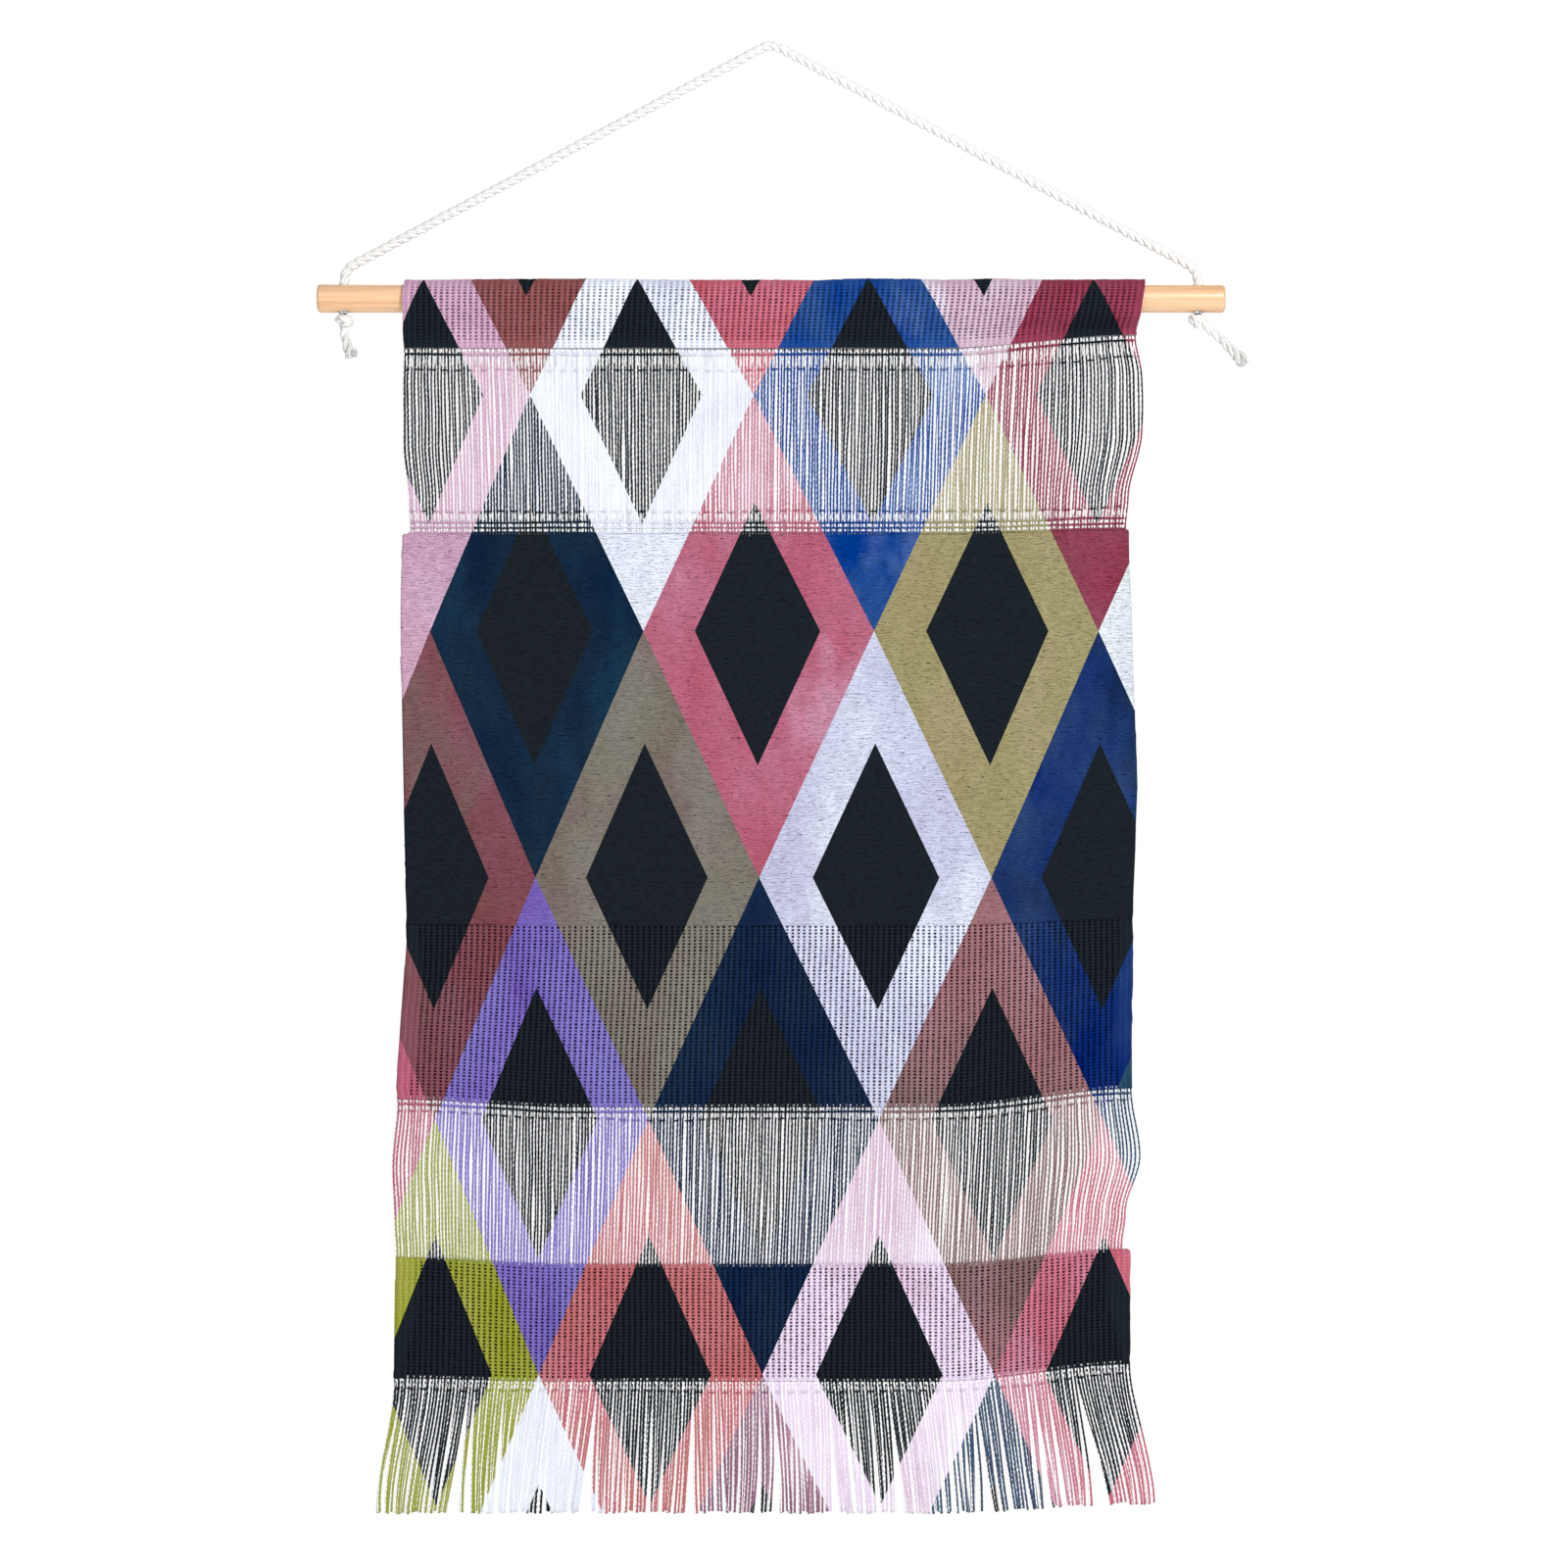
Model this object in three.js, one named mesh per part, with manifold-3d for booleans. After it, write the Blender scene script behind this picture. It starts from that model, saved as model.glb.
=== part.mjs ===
// Tapestry wall hanging: a printed cotton web, woven in bands, hangs by a rod pocket from a drilled
// wooden dowel, and the dowel hangs by a knotted cord from a nail.
// Millimetres, +Z up, the viewer on the -Y side and the wall on the +Y side.
// The origin is the point where the nail holds the cord, under the middle of the cord.

import * as THREE from 'three';
import { mergeVertices } from 'three/addons/utils/BufferGeometryUtils.js';
import Module from 'manifold-3d';

// Clearance between neighbouring solids
const GAP = 0.3;

// Web: its width, and the height of each band from the dowel's axis down
const WEB_WIDTH = 330;
const POCKET_DROP = 22.5;
const UPPER_WARP_HEIGHT = 84;
const TAPESTRY_HEIGHT = 177;
const MESH_HEIGHT = 82;
const LOWER_WARP_HEIGHT = 71;
const LOWER_MESH_HEIGHT = 53;
const FRINGE_LENGTH = 60;
const FRINGE_HEADER_HEIGHT = 8;
const FRINGE_SPREAD = 1.075;

// Cloth thicknesses and yarn sizes
const POCKET_CLOTH = 1.8;
const TAPESTRY_CLOTH = 2.2;
const MESH_CLOTH = 1.6;
const WARP_YARN = 0.9;
const WEFT_YARN = 0.9;
const SEAM_THREAD = 0.6;
const SEAM_ALLOWANCE = 3.5;

// Warp yarns are modelled as flat bundles, in groups that share a header strip
const BUNDLES = 44;
const BUNDLE_SLIT = 0.8;
const WARP_GROUPS = 4;
const FRINGE_GROUPS = 11;
const HEADER_STRIP = 3.5;
const FOLD_CLEARANCE = 1.2;

// Distance of each single weft yarn from the edge of its open band
const UPPER_WEFT_INSET = 10;
const LOWER_WEFT_INSET = 5.5;
const FRINGE_WEFT_INSET = 3.2;

// Dowel and its two cord holes
const DOWEL_DIAMETER = 12.7;
const DOWEL_DROP = 112;
const DOWEL_CHAMFER = 0.9;
const HOLE_MARGIN = 28;
const DOWEL_OVERHANG = 12;

// Cord, knots and tails
const CORD_DIAMETER = 4.5;
const HOLE_CLEARANCE = 0.6;
const KNOT_RADIUS = 4.4;
const KNOT_HEIGHT = 5.6;
const LEFT_TAIL = { length: 13.6, lean: 0.18 };
const RIGHT_TAIL = { length: 26, lean: 0.82 };
const TAIL_RADIUS = 2.1;
const FRAY_RADIUS = 3.5;

// The cord's line on its right side, as [x, z], from the nail to the mouth of the dowel's hole.
// The left side is its mirror image.
const CORD_HALF = [
  [0, 2.25], [2.2, 1.97], [4.3, 1.15], [9, -1.35], [20, -7.2], [40, -17.8], [65, -31.05],
  [90, -44.3], [115, -57.6], [140, -70.85], [160, -81.45], [174, -88.9], [182, -93.1],
  [188.2, -96.4], [190.4, -98], [191.8, -99.85], [192.7, -102], [193, -104.35], [193, -105.35],
];
const CORD_STEPS = 76;
const CORD_SIDES = 10;

const COTTON = { color: 0xf2efe9, roughness: 0.9, metalness: 0 };
const WOOD = { color: 0xe3b98d, roughness: 0.45, metalness: 0 };
const ROSE_PRINT = { color: 0xb4566a, roughness: 0.95, metalness: 0 };
const NAVY_PRINT = { color: 0x23304f, roughness: 0.95, metalness: 0 };
const INK_PRINT = { color: 0x161c24, roughness: 0.95, metalness: 0 };
const PALE_YARN = { color: 0xc6bfca, roughness: 0.95, metalness: 0 };
const GREY_YARN = { color: 0x74757d, roughness: 0.95, metalness: 0 };

const dowelRadius = DOWEL_DIAMETER / 2;
const holeX = WEB_WIDTH / 2 + HOLE_MARGIN;
const holeRadius = CORD_DIAMETER / 2 + HOLE_CLEARANCE;
const dowelLength = 2 * (holeX + DOWEL_OVERHANG);
const dowelTop = -DOWEL_DROP + dowelRadius;
const dowelBottom = -DOWEL_DROP - dowelRadius;

// Levels of the web, from the pocket's lower edge to the end of the fringe
const pocketEdge = -DOWEL_DROP - POCKET_DROP;
const tapestryTop = pocketEdge - UPPER_WARP_HEIGHT;
const meshTop = tapestryTop - TAPESTRY_HEIGHT;
const lowerWarpTop = meshTop - MESH_HEIGHT;
const lowerMeshTop = lowerWarpTop - LOWER_WARP_HEIGHT;
const fringeTop = lowerMeshTop - LOWER_MESH_HEIGHT;
const fringeEnd = fringeTop - FRINGE_LENGTH;
const upperFold = (pocketEdge + tapestryTop) / 2;
const lowerFold = (lowerWarpTop + lowerMeshTop) / 2;
const fringeFold = fringeTop - FRINGE_HEADER_HEIGHT;

const wasm = await Module();
wasm.setup();

const hanging = new THREE.Group();

function addPiece(name, geometry, finish) {
  const mesh = new THREE.Mesh(geometry, new THREE.MeshStandardMaterial(finish));
  mesh.name = name;
  hanging.add(mesh);
  return mesh;
}

// Boolean work on closed geometries

function toSolid(geometry) {
  const bare = geometry.clone();
  bare.deleteAttribute('normal');
  bare.deleteAttribute('uv');
  const merged = mergeVertices(bare, 1e-4);
  const vertProperties = new Float32Array(merged.attributes.position.array);
  const triVerts = new Uint32Array(merged.index.array);
  return new wasm.Manifold(new wasm.Mesh({ numProp: 3, vertProperties, triVerts }));
}

function toGeometry(solid) {
  const mesh = solid.getMesh();
  const geometry = new THREE.BufferGeometry();
  geometry.setAttribute('position', new THREE.BufferAttribute(mesh.vertProperties, 3));
  geometry.setIndex(new THREE.BufferAttribute(mesh.triVerts, 1));
  geometry.computeVertexNormals();
  return geometry;
}

// Extrusions: a profile drawn in (y, z) runs along X, and one drawn in (x, z) runs towards -Y

function extrudeAlongX(shape, start, end, curveSegments = 1) {
  const geometry = new THREE.ExtrudeGeometry(shape, {
    depth: end - start, bevelEnabled: false, curveSegments,
  });
  const turn = new THREE.Matrix4().set(0, 0, 1, start, 1, 0, 0, 0, 0, 1, 0, 0, 0, 0, 0, 1);
  return geometry.applyMatrix4(turn);
}

function extrudeTowardsViewer(shape, back, thickness) {
  const geometry = new THREE.ExtrudeGeometry(shape, { depth: thickness, bevelEnabled: false });
  const turn = new THREE.Matrix4().set(1, 0, 0, 0, 0, 0, -1, back, 0, 1, 0, 0, 0, 0, 0, 1);
  return geometry.applyMatrix4(turn);
}

function rectangle(left, bottom, right, top) {
  const shape = new THREE.Shape();
  shape.moveTo(left, bottom);
  shape.lineTo(right, bottom);
  shape.lineTo(right, top);
  shape.lineTo(left, top);
  return shape;
}

// Dowel: a turned rod with chamfered ends and two holes drilled through it from top to bottom

function dowel() {
  const half = dowelLength / 2;
  const edge = dowelRadius - DOWEL_CHAMFER;
  const profile = [
    [0, -half], [edge, -half], [dowelRadius, DOWEL_CHAMFER - half],
    [dowelRadius, half - DOWEL_CHAMFER], [edge, half], [0, half],
  ];
  const rod = new THREE.LatheGeometry(profile.map(([r, h]) => new THREE.Vector2(r, h)), 48);
  rod.rotateZ(-Math.PI / 2);
  rod.translate(0, 0, -DOWEL_DROP);
  let solid = toSolid(rod);
  for (const x of [-holeX, holeX]) {
    const drill = new THREE.CylinderGeometry(holeRadius, holeRadius, 2 * DOWEL_DIAMETER, 24);
    drill.rotateX(Math.PI / 2);
    drill.translate(x, 0, -DOWEL_DROP);
    solid = solid.subtract(toSolid(drill));
  }
  return toGeometry(solid);
}

// Cord: the free run over the nail, and at each end a run through the dowel, a knot and a tail

function freeCord() {
  const right = CORD_HALF.map(([x, z]) => new THREE.Vector3(x, 0, z));
  const left = CORD_HALF.slice(1).map(([x, z]) => new THREE.Vector3(-x, 0, z)).reverse();
  const line = new THREE.CatmullRomCurve3([...left, ...right], false, 'centripetal');
  const section = new THREE.Shape();
  section.absarc(0, 0, CORD_DIAMETER / 2, 0, 2 * Math.PI, false);
  return new THREE.ExtrudeGeometry(section, {
    steps: CORD_STEPS, extrudePath: line, bevelEnabled: false, curveSegments: CORD_SIDES,
  });
}

function lathe(profile, segments) {
  const geometry = new THREE.LatheGeometry(
    profile.map(([r, h]) => new THREE.Vector2(r, h)), segments);
  return geometry.rotateX(Math.PI / 2);
}

// How far a knot stands out from its middle towards a flat end that leans from straight down
function knotReach(lean) {
  return Math.hypot(Math.sin(lean) * KNOT_RADIUS, (Math.cos(lean) * KNOT_HEIGHT) / 2);
}

function addCordEnd(side, x, tail) {
  const runBottom = dowelBottom - GAP;
  const run = new THREE.CylinderGeometry(
    CORD_DIAMETER / 2, CORD_DIAMETER / 2, dowelTop - runBottom, CORD_SIDES);
  run.rotateX(Math.PI / 2);
  run.translate(x, 0, (dowelTop + runBottom) / 2);
  addPiece(`cord_run_${side}`, run, COTTON);

  const halfKnot = KNOT_HEIGHT / 2;
  const knotZ = runBottom - GAP - halfKnot;
  const knot = lathe([
    [0, -halfKnot], [KNOT_RADIUS * 0.55, -halfKnot * 0.9], [KNOT_RADIUS * 0.9, -halfKnot * 0.5],
    [KNOT_RADIUS, 0], [KNOT_RADIUS * 0.9, halfKnot * 0.5], [KNOT_RADIUS * 0.55, halfKnot * 0.9],
    [0, halfKnot],
  ], 16);
  knot.translate(x, 0, knotZ);
  addPiece(`knot_${side}`, knot, COTTON);

  const start = -knotReach(tail.lean) - GAP;
  const fray = lathe([
    [0, start - tail.length], [FRAY_RADIUS * 0.9, start - tail.length],
    [FRAY_RADIUS, start - tail.length * 0.85], [TAIL_RADIUS, start - tail.length * 0.45],
    [TAIL_RADIUS, start], [0, start],
  ], 12);
  fray.rotateY(-tail.lean);
  fray.translate(x, 0, knotZ);
  addPiece(`tail_${side}`, fray, COTTON);
}

// Rod pocket: a sleeve round the dowel whose front and back layers meet in a flat seam

function sleeveOutline(path, radius, halfSeam, seamTop) {
  const drop = -DOWEL_DROP - seamTop;
  const reach = Math.hypot(halfSeam, drop);
  const touch = Math.atan2(-drop, halfSeam) + Math.acos(radius / reach);
  path.lineTo(halfSeam, seamTop);
  path.absarc(0, -DOWEL_DROP, radius, touch, Math.PI - touch, false);
  path.lineTo(-halfSeam, seamTop);
}

function rodPocket() {
  const seamTop = pocketEdge + SEAM_ALLOWANCE;
  const inner = dowelRadius + GAP;
  const sleeve = new THREE.Shape();
  sleeve.moveTo(-POCKET_CLOTH, pocketEdge);
  sleeve.lineTo(POCKET_CLOTH, pocketEdge);
  sleeveOutline(sleeve, inner + POCKET_CLOTH, POCKET_CLOTH, seamTop - POCKET_CLOTH / 2);
  const hollow = new THREE.Path();
  hollow.moveTo(0, seamTop);
  sleeveOutline(hollow, inner, GAP, seamTop + GAP);
  sleeve.holes.push(hollow);
  return extrudeAlongX(sleeve, -WEB_WIDTH / 2, WEB_WIDTH / 2, 28);
}

// Straight yarns that cross the whole web

function crossYarn(size, z, back) {
  const shape = rectangle(-WEB_WIDTH / 2, z - size / 2, WEB_WIDTH / 2, z + size / 2);
  return extrudeTowardsViewer(shape, back, size);
}

function addWeft(name, z) {
  addPiece(name, crossYarn(WEFT_YARN, z, -WARP_YARN / 2 - GAP), GREY_YARN);
}

// Woven panels

function addPanel(name, top, bottom, thickness, finish) {
  const shape = rectangle(-WEB_WIDTH / 2, bottom, WEB_WIDTH / 2, top);
  addPiece(name, extrudeTowardsViewer(shape, thickness / 2, thickness), finish);
}

// Warp bundles: a comb whose strip lies across the web and whose teeth are the bundles.
// topTip and bottomTip give the height at which a column's tooth ends; without them that side
// of the strip is plain. spread widens the lower teeth away from the web's middle.

function bundleSpan(column) {
  const pitch = WEB_WIDTH / BUNDLES;
  const left = -WEB_WIDTH / 2 + column * pitch;
  return [left + BUNDLE_SLIT / 2, left + pitch - BUNDLE_SLIT / 2];
}

function comb({ columns, stripTop, stripBottom, topTip, bottomTip, spread = 1 }) {
  const upper = [];
  const lower = [];
  for (const column of columns) {
    const [left, right] = bundleSpan(column);
    const topZ = topTip ? topTip(column) : stripTop;
    const bottomZ = bottomTip ? bottomTip(column) : stripBottom;
    upper.push([left, stripTop], [left, topZ], [right, topZ], [right, stripTop]);
    lower.push(
      [left, stripBottom], [left * spread, bottomZ], [right * spread, bottomZ],
      [right, stripBottom]);
  }
  const outline = [...lower, ...upper.reverse()];
  const corners = outline.filter(([x, z], i) => {
    const [nextX, nextZ] = outline[(i + 1) % outline.length];
    return Math.hypot(x - nextX, z - nextZ) > 1e-6;
  });
  const shape = new THREE.Shape(corners.map(([x, z]) => new THREE.Vector2(x, z)));
  return extrudeTowardsViewer(shape, WARP_YARN / 2, WARP_YARN);
}

function groupColumns(group, groups) {
  const first = Math.round((group * BUNDLES) / groups);
  const end = Math.round(((group + 1) * BUNDLES) / groups);
  return Array.from({ length: end - first }, (_, i) => first + i);
}

// At a fold, even columns reach past the fold line from above and odd ones from below,
// like the knuckles of a hinge, and each column's other half stays clear of them.

function tipAbove(fold) {
  return (column) => (column % 2 === 0 ? fold - WARP_YARN / 2 : fold + FOLD_CLEARANCE);
}

function tipBelow(fold) {
  return (column) => (column % 2 === 0 ? fold - FOLD_CLEARANCE : fold + WARP_YARN / 2);
}

function addOpenBand(name, top, bottom, fold, finish) {
  for (let group = 0; group < WARP_GROUPS; group += 1) {
    const columns = groupColumns(group, WARP_GROUPS);
    addPiece(`${name}_warp_top_${group + 1}`, comb({
      columns,
      stripTop: top - GAP,
      stripBottom: top - HEADER_STRIP,
      bottomTip: tipAbove(fold),
    }), finish);
    addPiece(`${name}_warp_bottom_${group + 1}`, comb({
      columns,
      stripTop: bottom + HEADER_STRIP,
      stripBottom: bottom + GAP,
      topTip: tipBelow(fold),
    }), finish);
  }
}

function addFringe() {
  addPiece('fringe_header', comb({
    columns: groupColumns(0, 1),
    stripTop: fringeTop - GAP,
    stripBottom: fringeTop - HEADER_STRIP,
    bottomTip: tipAbove(fringeFold),
  }), PALE_YARN);
  for (let group = 0; group < FRINGE_GROUPS; group += 1) {
    addPiece(`fringe_${group + 1}`, comb({
      columns: groupColumns(group, FRINGE_GROUPS),
      stripTop: fringeFold - FOLD_CLEARANCE,
      stripBottom: fringeFold - FOLD_CLEARANCE - HEADER_STRIP,
      topTip: tipBelow(fringeFold),
      bottomTip: () => fringeEnd,
      spread: FRINGE_SPREAD,
    }), group % 2 === 0 ? PALE_YARN : GREY_YARN);
  }
}

addPiece('dowel', dowel(), WOOD);
addPiece('hanging_cord', freeCord(), COTTON);
addCordEnd('left', -holeX, LEFT_TAIL);
addCordEnd('right', holeX, RIGHT_TAIL);

addPiece('rod_pocket', rodPocket(), ROSE_PRINT);
const seamBack = POCKET_CLOTH + GAP + SEAM_THREAD;
addPiece('pocket_seam', crossYarn(SEAM_THREAD, pocketEdge + SEAM_ALLOWANCE / 2, seamBack), COTTON);

addOpenBand('upper', pocketEdge, tapestryTop, upperFold, PALE_YARN);
addWeft('upper_weft_top', pocketEdge - UPPER_WEFT_INSET);
addWeft('upper_weft_bottom', tapestryTop + UPPER_WEFT_INSET);
addPanel('tapestry_panel', tapestryTop, meshTop, TAPESTRY_CLOTH, ROSE_PRINT);
addPanel('mesh_panel', meshTop - GAP, lowerWarpTop, MESH_CLOTH, NAVY_PRINT);

addOpenBand('lower', lowerWarpTop, lowerMeshTop, lowerFold, PALE_YARN);
addWeft('lower_weft_top', lowerWarpTop - LOWER_WEFT_INSET);
addPanel('lower_mesh_panel', lowerMeshTop, fringeTop, MESH_CLOTH, INK_PRINT);

addFringe();
addWeft('fringe_weft', fringeTop - FRINGE_WEFT_INSET);

export default hanging;
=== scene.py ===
"""Printed cotton wall hanging: a web woven in bands, on a wooden dowel and a knotted cord."""

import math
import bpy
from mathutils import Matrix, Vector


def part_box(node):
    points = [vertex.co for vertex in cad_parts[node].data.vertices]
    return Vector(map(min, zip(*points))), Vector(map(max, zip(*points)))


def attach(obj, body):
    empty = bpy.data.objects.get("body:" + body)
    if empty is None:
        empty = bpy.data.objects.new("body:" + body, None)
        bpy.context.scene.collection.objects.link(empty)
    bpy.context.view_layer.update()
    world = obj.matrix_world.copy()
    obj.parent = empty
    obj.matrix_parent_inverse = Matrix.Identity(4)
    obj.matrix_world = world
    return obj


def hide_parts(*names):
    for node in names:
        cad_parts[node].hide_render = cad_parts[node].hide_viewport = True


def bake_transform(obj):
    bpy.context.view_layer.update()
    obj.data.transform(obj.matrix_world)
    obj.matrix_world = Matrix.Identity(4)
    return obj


bl_info = {
    "name": "Tapestry Wall Hanging",
    "version": (1, 0, 0),
    "blender": (4, 5, 0),
    "location": "View3D > Sidebar > Hanging",
    "description": "Builds a printed wall hanging woven in bands, with its dowel, cord and fringe",
    "category": "Add Mesh",
}

import bpy
import numpy as np
from bpy.props import FloatProperty, FloatVectorProperty, IntProperty, PointerProperty
from mathutils import Vector

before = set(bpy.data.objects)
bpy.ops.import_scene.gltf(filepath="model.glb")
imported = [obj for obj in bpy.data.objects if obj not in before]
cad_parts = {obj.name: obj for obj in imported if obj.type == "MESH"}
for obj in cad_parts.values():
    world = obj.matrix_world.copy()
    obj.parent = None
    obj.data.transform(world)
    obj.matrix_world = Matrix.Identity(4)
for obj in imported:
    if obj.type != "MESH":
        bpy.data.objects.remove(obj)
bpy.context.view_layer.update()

MM = 0.001
HOLE_CLEARANCE = 0.6 * MM  # gap between the cord and the dowel's holes
TUCK = 1.2 * MM  # how far bare yarns run into the woven bands
CELL_STEPS = 3  # points across one cell of the open weave

# Levels and places that the frame sets
DOWEL_LOW, DOWEL_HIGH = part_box("dowel")
AXIS_Z = (DOWEL_LOW.z + DOWEL_HIGH.z) / 2
DOWEL_RADIUS = (DOWEL_HIGH.z - DOWEL_LOW.z) / 2
POCKET_LOW, POCKET_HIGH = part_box("rod_pocket")
TAPESTRY_LOW, TAPESTRY_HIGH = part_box("tapestry_panel")
MESH_LOW, MESH_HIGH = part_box("mesh_panel")
LOWER_LOW, LOWER_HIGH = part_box("lower_mesh_panel")
FRINGE_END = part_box("fringe_1")[0].z
RUN_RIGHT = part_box("cord_run_right")
HOLE_X = (RUN_RIGHT[0].x + RUN_RIGHT[1].x) / 2
CORD_DIAMETER = RUN_RIGHT[1].y - RUN_RIGHT[0].y

# The cord's line on its right side, in millimetres, from the nail to the mouth of the hole
CORD_HALF = (
    (0, 2.25), (2.2, 1.97), (4.3, 1.15), (9, -1.35), (20, -7.2), (40, -17.8), (65, -31.05),
    (90, -44.3), (115, -57.6), (140, -70.85), (160, -81.45), (174, -88.9), (182, -93.1),
    (188.2, -96.4), (190.4, -98), (191.8, -99.85), (192.7, -102), (193, -104.35), (193, -105.35),
)

# Height in metres, then the web's left and right edges in millimetres, from its top to the
# end of the fringe
EDGES = (
    (POCKET_HIGH.z, -165.8, 168.5), (POCKET_LOW.z, -166.2, 164.8),
    (POCKET_LOW.z - 18 * MM, -167, 167.5), (POCKET_LOW.z - 42 * MM, -167, 167.5),
    (TAPESTRY_HIGH.z + 14 * MM, -164.5, 161.5), (TAPESTRY_HIGH.z + 2 * MM, -163.5, 160.5),
    (TAPESTRY_HIGH.z - 1 * MM, -167, 161.5), (TAPESTRY_HIGH.z - 50 * MM, -167.5, 163.2),
    (TAPESTRY_HIGH.z - 115 * MM, -166, 165.3), (MESH_HIGH.z, -165, 163.5),
    (MESH_LOW.z, -169.3, 163), (MESH_LOW.z - 30 * MM, -171.5, 167),
    (LOWER_HIGH.z + 16 * MM, -170.5, 160.5), (LOWER_HIGH.z + 2 * MM, -169.8, 158.8),
    (LOWER_HIGH.z - 1 * MM, -169.8, 162.2), (LOWER_LOW.z, -170.6, 162.2),
    (FRINGE_END, -181, 174.8),
)

# Height in metres, then how far the web is drawn up at its left and right ends, in millimetres
DRAWN_UP = (
    (AXIS_Z - 6.5 * MM, 0, 0), (POCKET_LOW.z, 0, 6), (TAPESTRY_HIGH.z, 0, 2),
    (TAPESTRY_LOW.z, 0.5, 3), (MESH_LOW.z, 3.5, 8.5), (LOWER_HIGH.z, 3, 7),
    (LOWER_LOW.z, 1.5, 8), (FRINGE_END, 0, 4),
)

# The print is a lattice of diamonds. These are the heights of its rows' middles and the places
# of its columns' middles, in millimetres.
ROW_Z = (-59.6, -155.6, -262.4, -373.8, -483.2, -598.5, -707.0)
COLUMN_X = (-153.7, -107.3, -57.2, -6.2, 47.0, 98.8, 148.5)

# The cloth hangs a little out of square, so the columns lean: height and shift in millimetres
COLUMN_LEAN = ((-700, 2.4), (-600, 2.2), (-484, 1.7), (-371, 0.7), (-155, -1.8), (-103, -3.2))

# Colours of each row's diamonds from the top, each with the wash that clouds it, and the
# column that the row's first diamond stands on
ROW_COLOURS = (
    (-1, (("mauve", "pink"), ("brown_rose", "maroon"), ("crimson", "rose"),
          ("dusty_pink", "ice"), ("wine", "maroon"))),
    (0, (("pink", "mauve"), ("ice", "lavender"), ("royal", "sky"), ("wine", "maroon"))),
    (-1, (("pink", "mauve"), ("midnight", "teal"), ("rose", "blush"), ("olive", "straw"),
          ("frost", "ice"))),
    (0, (("maroon", "umber"), ("taupe", "umber"), ("lavender", "ice"), ("cobalt", "midnight"))),
    (-1, (("rose", "blush"), ("violet", "grape"), ("deep_navy", "teal"),
          ("faded_rose", "umber"), ("slate", "teal"))),
    (0, (("chartreuse", "chartreuse"), ("coral", "crimson"), ("orchid", "pink"),
         ("crimson", "blush"))),
    (-1, (("chartreuse", "chartreuse"), ("ice", "lavender"), ("plum", "blush"),
          ("slate_navy", "slate"), ("pink", "mauve"))),
)
COLUMN_SLOTS = 10

# Places along the fringe's end where it parts, in millimetres
FRINGE_PARTS = (-143, -106, -83, -35, 3, 30, 58, 98, 149)


def linear(code):
    """Scene-linear colour of an sRGB code such as 0xB2626F."""
    def channel(shift):
        value = ((code >> shift) & 255) / 255
        return value / 12.92 if value <= 0.04045 else ((value + 0.055) / 1.055) ** 2.4
    return (channel(16), channel(8), channel(0))


def colour(label, code):
    return FloatVectorProperty(
        name=label, description=f"Colour of the {label.lower()}", subtype="COLOR", size=3,
        min=0.0, max=1.0, default=linear(code))


class HangingColours(bpy.types.PropertyGroup):
    """Paints of the print, the bare materials, and the painted shade in the holes."""

    pink: colour("Pink diamonds", 0xBD98B1)
    ice: colour("Ice diamonds", 0xD6DBE8)
    royal: colour("Royal blue diamonds", 0x1A4184)
    cobalt: colour("Cobalt diamonds", 0x193066)
    wine: colour("Wine diamonds", 0x84374C)
    mauve: colour("Mauve diamonds", 0xC498AB)
    brown_rose: colour("Brown rose diamonds", 0x865154)
    crimson: colour("Crimson diamonds", 0xB35E6F)
    dusty_pink: colour("Dusty pink diamonds", 0xBA9EB0)
    midnight: colour("Midnight diamonds", 0x132438)
    rose: colour("Rose diamonds", 0xA95B71)
    olive: colour("Olive diamonds", 0x948C67)
    frost: colour("Frost diamonds", 0xCDD6DA)
    maroon: colour("Maroon diamonds", 0x76444D)
    taupe: colour("Taupe diamonds", 0x77736A)
    lavender: colour("Lavender diamonds", 0xB9BBD4)
    violet: colour("Violet diamonds", 0x7669B3)
    deep_navy: colour("Deep navy diamonds", 0x14243F)
    faded_rose: colour("Faded rose diamonds", 0x92696F)
    slate: colour("Slate diamonds", 0x36546C)
    chartreuse: colour("Chartreuse diamonds", 0x8D9237)
    coral: colour("Coral diamonds", 0xB0676A)
    orchid: colour("Orchid diamonds", 0xD6C6DC)
    plum: colour("Plum diamonds", 0x825971)
    slate_navy: colour("Slate navy diamonds", 0x37425A)
    sky: colour("Washes on royal blue", 0x6480B4)
    teal: colour("Washes on navy", 0x16344A)
    blush: colour("Washes on rose", 0xBC8CA4)
    straw: colour("Washes on olive", 0x8F8258)
    umber: colour("Washes on taupe", 0x6E5C58)
    grape: colour("Washes on violet", 0x5D4E9E)
    ink: colour("Inner diamonds", 0x191F25)
    # Painted shade: near black painted into the holes of the open weave, standing in for the shadow
    # seen through them.
    painted_hole_shade: colour("Holes between yarns", 0x04060A)
    cotton: colour("Bare cotton", 0xFBFBFC)
    cord: colour("Cord cotton", 0xEFEEEC)
    wood: colour("Dowel wood", 0xE6BF98)
    wood_streak: colour("Dowel grain", 0xCC9A6C)
    floor: colour("Floor", 0xF7F7F7)
    backdrop: colour("Surroundings", 0xFFFFFF)


def length(label, millimetres, text):
    return FloatProperty(
        name=label, description=text, subtype="DISTANCE", unit="LENGTH", min=0.0,
        default=millimetres * MM)


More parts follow.
